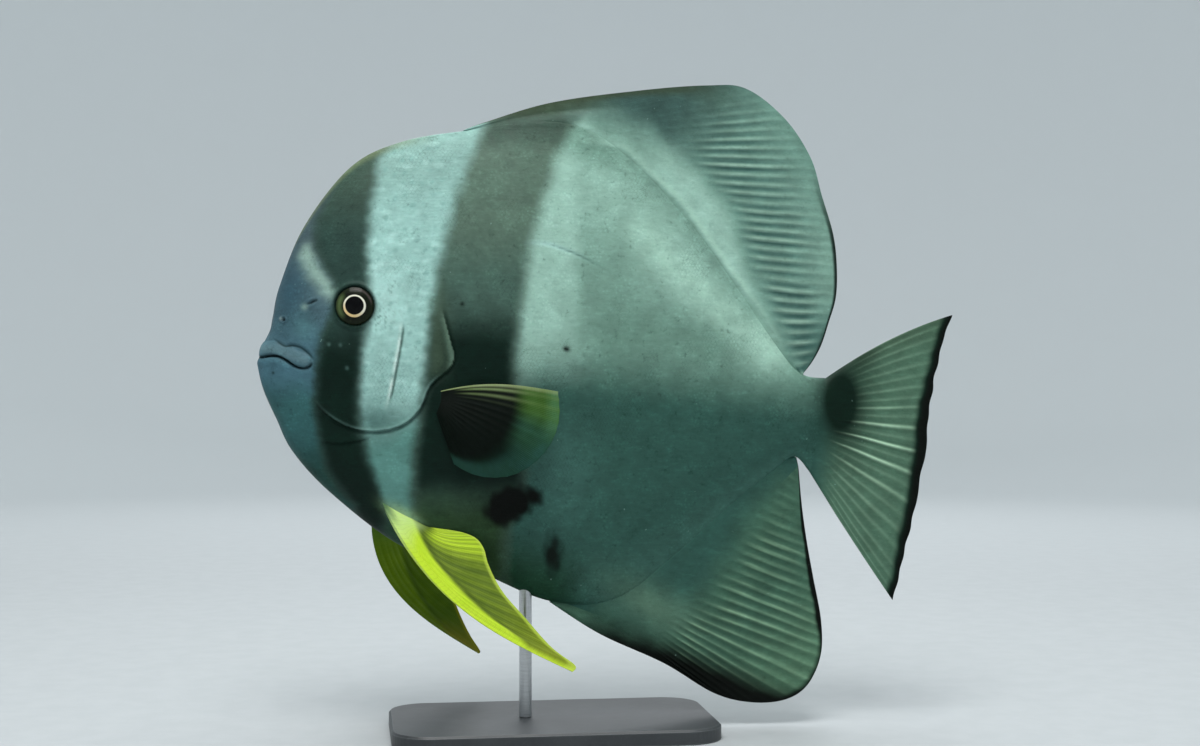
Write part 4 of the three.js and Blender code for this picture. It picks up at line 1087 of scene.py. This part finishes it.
def skin_material():
    n = Nodes("batfish_skin")
    body = n.attribute("body")
    mottle, fine, pebble = n.noise(60.0, 4.0), n.noise(420.0), n.noise(170.0, 4.0, 0.7)
    stroke = n.noise(1.0, 4.0, 0.65, n.stretched(115.0, 115.0, 330.0))
    fleck = n.noise(330.0, 1.0, 0.4)
    cells = n.node("ShaderNodeTexVoronoi", {"Vector": n.where, "Scale": 430.0}).outputs["Distance"]
    off = n.times(n.math("SUBTRACT", mottle, 0.5), 9.0)
    drift = n.times(n.math("SUBTRACT", pebble, 0.5), 2.6)
    scale = scales(n, n.plus(n.attribute("across"), off), n.plus(n.attribute("height"), drift), 2.7, 2.3)
    scale = n.times(scale, n.spread(n.noise(26.0), 0.36, 0.62, 0.25, 1.0))
    colour = n.tint(
        n.attribute("tone", "Color"),
        (mottle, 0.35, 0.7, 0.3, (0.72, 0.8, 0.78), "SOFT_LIGHT"),
        (stroke, 0.5, 0.72, 0.26, (0.84, 0.92, 0.9), "SOFT_LIGHT"),
        (stroke, 0.48, 0.28, 0.2, (0.36, 0.42, 0.4), "MULTIPLY"),
        (fleck, 0.79, 0.83, 0.22, rgb(170, 206, 196), "MIX"),
    )
    dots = n.times(n.spread(cells, 0.5, 0.12, 0.0, 0.3), n.spread(mottle, 0.45, 0.65))
    colour = n.mix(n.times(dots, body), colour, (0.86, 0.94, 0.9), "SOFT_LIGHT")
    pits = n.times(n.spread(cells, 0.5, 0.75, 0.0, 0.3), n.spread(pebble, 0.5, 0.3))
    colour = n.mix(n.times(pits, body), colour, (0.2, 0.26, 0.24), "MULTIPLY")
    colour = n.tint(colour, (pebble, 0.42, 0.2, 0.4, (0.3, 0.36, 0.34), "MULTIPLY"))
    dim = n.times(n.spread(scale, 0.66, 1.0), n.spread(body, 0.0, 1.0, 0.08, 0.26))
    colour = n.mix(dim, colour, (0.1, 0.16, 0.14), "MULTIPLY")
    colour = n.tint(colour, (fine, 0.35, 0.7, 0.22, (0.36, 0.42, 0.39), "OVERLAY"))
    normal = n.bump(
        (n.times(scale, n.spread(body, 0.0, 1.0, 0.3, 1.0)), 0.00022, 0.8), (fine, 0.00014, 0.6),
        (pebble, 0.0006, 0.5), (stroke, 0.0003, 0.5),
    )
    return n.surface(
        colour, n.spread(mottle, 0.2, 0.8, 0.42, 0.6), Normal=normal, Specular_IOR_Level=0.1,
        Coat_Weight=0.015, Coat_Roughness=0.25, Subsurface_Weight=0.05,
        Subsurface_Radius=(0.002, 0.002, 0.0015), Subsurface_Scale=0.3,
    )


def fin_material(name, rough_low, rough_high, coat):
    n = Nodes(name)
    mottle, fine = n.noise(90.0, 4.0), n.noise(500.0)
    segment = n.math("FRACT", n.times(n.attribute("out"), 46.0))
    colour = n.tint(
        n.attribute("tone", "Color"),
        (mottle, 0.3, 0.7, 0.35, (0.25, 0.3, 0.08), "SOFT_LIGHT"),
        (segment, 0.8, 1.0, 0.14, (0.1, 0.12, 0.03), "MULTIPLY"),
        (fine, 0.35, 0.7, 0.2, (0.4, 0.42, 0.3), "OVERLAY"),
    )
    lines = n.math("SINE", n.times(n.attribute("ray"), 6 * math.tau))
    return n.surface(
        colour, n.spread(mottle, 0.2, 0.8, rough_low, rough_high), Specular_IOR_Level=0.08, Coat_Weight=coat,
        Normal=n.bump((lines, 0.0001, 0.5), (fine, 0.0001, 0.5)), Coat_Roughness=0.3, Subsurface_Weight=0.06,
        Subsurface_Radius=(0.002, 0.002, 0.001), Subsurface_Scale=0.3,
    )


def eye_material():
    n = Nodes("batfish_eye")
    radius, turn_x, turn_z = n.attribute("radius"), n.attribute("turn_x"), n.attribute("turn_z")

    def near_radius(centre, width):
        off = n.math("DIVIDE", n.math("SUBTRACT", radius, centre), width)
        return n.math("EXPONENT", n.times(n.times(off, off), -1.0))

    fibres = n.noise(900.0)
    waver = n.plus(radius, n.times(n.noise(260.0, 2.0, 0.5), 0.35))
    iris = n.mix(n.spread(radius, 8.0, 12.6), rgb(8, 11, 6), rgb(24, 32, 18))
    iris = n.tint(iris, (fibres, 0.45, 0.7, 0.4, rgb(40, 48, 26), "MIX"))
    front = n.times(n.spread(turn_x, -0.55, -0.95), near_radius(10.6, 1.7))
    iris = n.mix(n.times(front, 0.7), iris, rgb(92, 112, 68))
    # Painted highlight: a pale arc on the iris's upper rear rim
    upper = n.plus(n.times(turn_x, 0.6), n.times(turn_z, 0.8))
    arc = n.times(n.spread(upper, 0.55, 0.95), near_radius(11.6, 0.7))
    iris = n.mix(n.times(arc, 0.7), iris, rgb(84, 74, 74))
    outside = n.spread(n.math("SUBTRACT", waver, n.plus(n.times(turn_z, 0.35), 6.3)), 0.05, 0.4)
    ring = n.times(outside, n.spread(waver, 7.75, 8.15, 1.0, 0.0))
    # Painted light: the ring paler on its upper side
    lit = n.plus(n.times(turn_x, 0.5), n.times(turn_z, 0.85))
    gold = n.mix(n.spread(lit, -1.0, 0.2), rgb(226, 196, 140), rgb(226, 224, 206))
    colour = n.mix(ring, n.mix(outside, rgb(1, 1, 2), iris), gold)
    normal = n.bump((fibres, 0.00008, 0.5))
    return n.surface(
        colour, 0.4, Normal=normal, Specular_IOR_Level=0.06, Coat_Weight=0.14, Coat_Roughness=0.06
    )


def base_material():
    n = Nodes("stand_base_lacquer")
    grain, cloud = n.noise(700.0), n.noise(14.0, 4.0)
    colour = n.mix(n.spread(cloud, 0.3, 0.7), rgb(44, 47, 50), rgb(58, 61, 64))
    colour = n.tint(colour, (grain, 0.5, 0.8, 0.3, rgb(84, 88, 90), "MIX"))
    worn = n.node("ShaderNodeBevel", {"Radius": 0.0012}, samples=4).outputs[0]
    flat = n.node("ShaderNodeNewGeometry").outputs["Normal"]
    edge = n.node("ShaderNodeVectorMath", {0: worn, 1: flat}, operation="DOT_PRODUCT").outputs["Value"]
    colour = n.mix(n.spread(edge, 0.9, 0.995, 0.4, 0.0), colour, rgb(120, 124, 126))
    return n.surface(colour, n.spread(cloud, 0.2, 0.8, 0.38, 0.55), Normal=n.bump((grain, 0.0001, 0.4)))


def rod_material():
    n = Nodes("brushed_steel_rod")
    brushed = n.noise(90.0, 4.0, 0.7, n.stretched(1.0, 1.0, 60.0))
    colour = n.mix(n.spread(brushed, 0.3, 0.7), rgb(176, 178, 180), rgb(206, 208, 210))
    normal = n.bump((brushed, 0.0001, 0.3))
    return n.surface(colour, n.spread(brushed, 0.3, 0.7, 0.28, 0.42), Metallic=1.0, Normal=normal)


def floor_material():
    n = Nodes("pale_floor")
    colour = n.mix(n.spread(n.noise(40.0, 4.0), 0.3, 0.7), (0.43, 0.455, 0.47), (0.45, 0.475, 0.49))
    out_way = n.node("ShaderNodeVectorMath", {0: n.where}, operation="LENGTH").outputs["Value"]
    colour = n.mix(n.spread(out_way, 0.9, 3.4), colour, (0.74, 0.78, 0.8))
    return n.surface(colour, 0.9, Specular_IOR_Level=0.2)


def dress(material, *pieces):
    for piece in pieces:
        piece.data.materials.clear()
        piece.data.materials.append(material)


dress(skin_material(), skin)
dress(fin_material("pectoral_membrane", 0.45, 0.6, 0.0), *pectorals)
dress(fin_material("pelvic_membrane", 0.38, 0.5, 0.08), *pelvics)
dress(eye_material(), *eyes)
dress(base_material(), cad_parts["stand_base"])
dress(rod_material(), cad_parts["stand_rod"])


# Stage, in metres: a round pale floor that rises into a wall, lights and camera
FLOOR_RADIUS, FLOOR_CURVE, WALL_TOP, FLOOR_DROP = 2.6, 1.4, 3.6, 0.0005


def stage_floor():
    profile = [(0.0, 0.0), (1.2, 0.0), (FLOOR_RADIUS, 0.0)]
    for a in np.linspace(0, math.pi / 2, 24)[1:]:
        profile.append((FLOOR_RADIUS + FLOOR_CURVE * math.sin(a), FLOOR_CURVE * (1 - math.cos(a))))
    radius, height, angle = turned(profile + [(FLOOR_RADIUS + FLOOR_CURVE, WALL_TOP)], 96)
    p = np.stack([radius * np.cos(angle), radius * np.sin(angle), height - FLOOR_DROP], -1).reshape(-1, 3)
    first, four, three = join(p, quads(np.arange(len(p)).reshape(radius.shape), True), 1e5)
    return make_mesh("floor", p[first], four, three)


floor = stage_floor()
dress(floor_material(), floor)


def area_light(name, place, aim_height, size, power, colour):
    data = bpy.data.lights.new(name, "AREA")
    data.shape = "RECTANGLE"
    data.size, data.size_y = size
    data.energy = power
    data.color = colour
    lamp = bpy.data.objects.new(name, data)
    lamp.location = place
    lamp.rotation_euler = (Vector((0, 0, aim_height)) - Vector(place)).to_track_quat("-Z", "Y").to_euler()
    bpy.context.scene.collection.objects.link(lamp)


area_light("key", (-0.35, -1.3, 2.5), 0.28, (1.5, 1.2), 52, (1.0, 1.0, 0.98))
area_light("top", (0.2, 0.2, 2.7), 0.2, (2.0, 2.0), 40, (0.96, 1.0, 1.0))
area_light("back", (0.4, 1.8, 1.6), 0.25, (1.6, 1.0), 16, (0.96, 0.98, 1.0))

world = bpy.data.worlds.new("studio")
world.use_nodes = True
world.node_tree.nodes["Background"].inputs["Color"].default_value = (0.86, 0.93, 0.96, 1)
world.node_tree.nodes["Background"].inputs["Strength"].default_value = 0.34
bpy.context.scene.world = world

YAW = math.radians(8)
TARGET = Vector((0.03467, 0.0, 0.25512))
DISTANCE = 1.3
LENS, SENSOR_WIDTH = 54.36, 36
camera_data = bpy.data.cameras.new("camera")
camera_data.sensor_width = SENSOR_WIDTH
camera_data.lens = LENS
camera_data.clip_start, camera_data.clip_end = 0.05, 50
camera = bpy.data.objects.new("camera", camera_data)
camera.location = TARGET + Vector((-math.sin(YAW), -math.cos(YAW), 0)) * DISTANCE
camera.rotation_euler = (math.radians(90), 0, -YAW)
bpy.context.scene.collection.objects.link(camera)
bpy.context.scene.camera = camera
bpy.context.scene.view_settings.view_transform = "Standard"
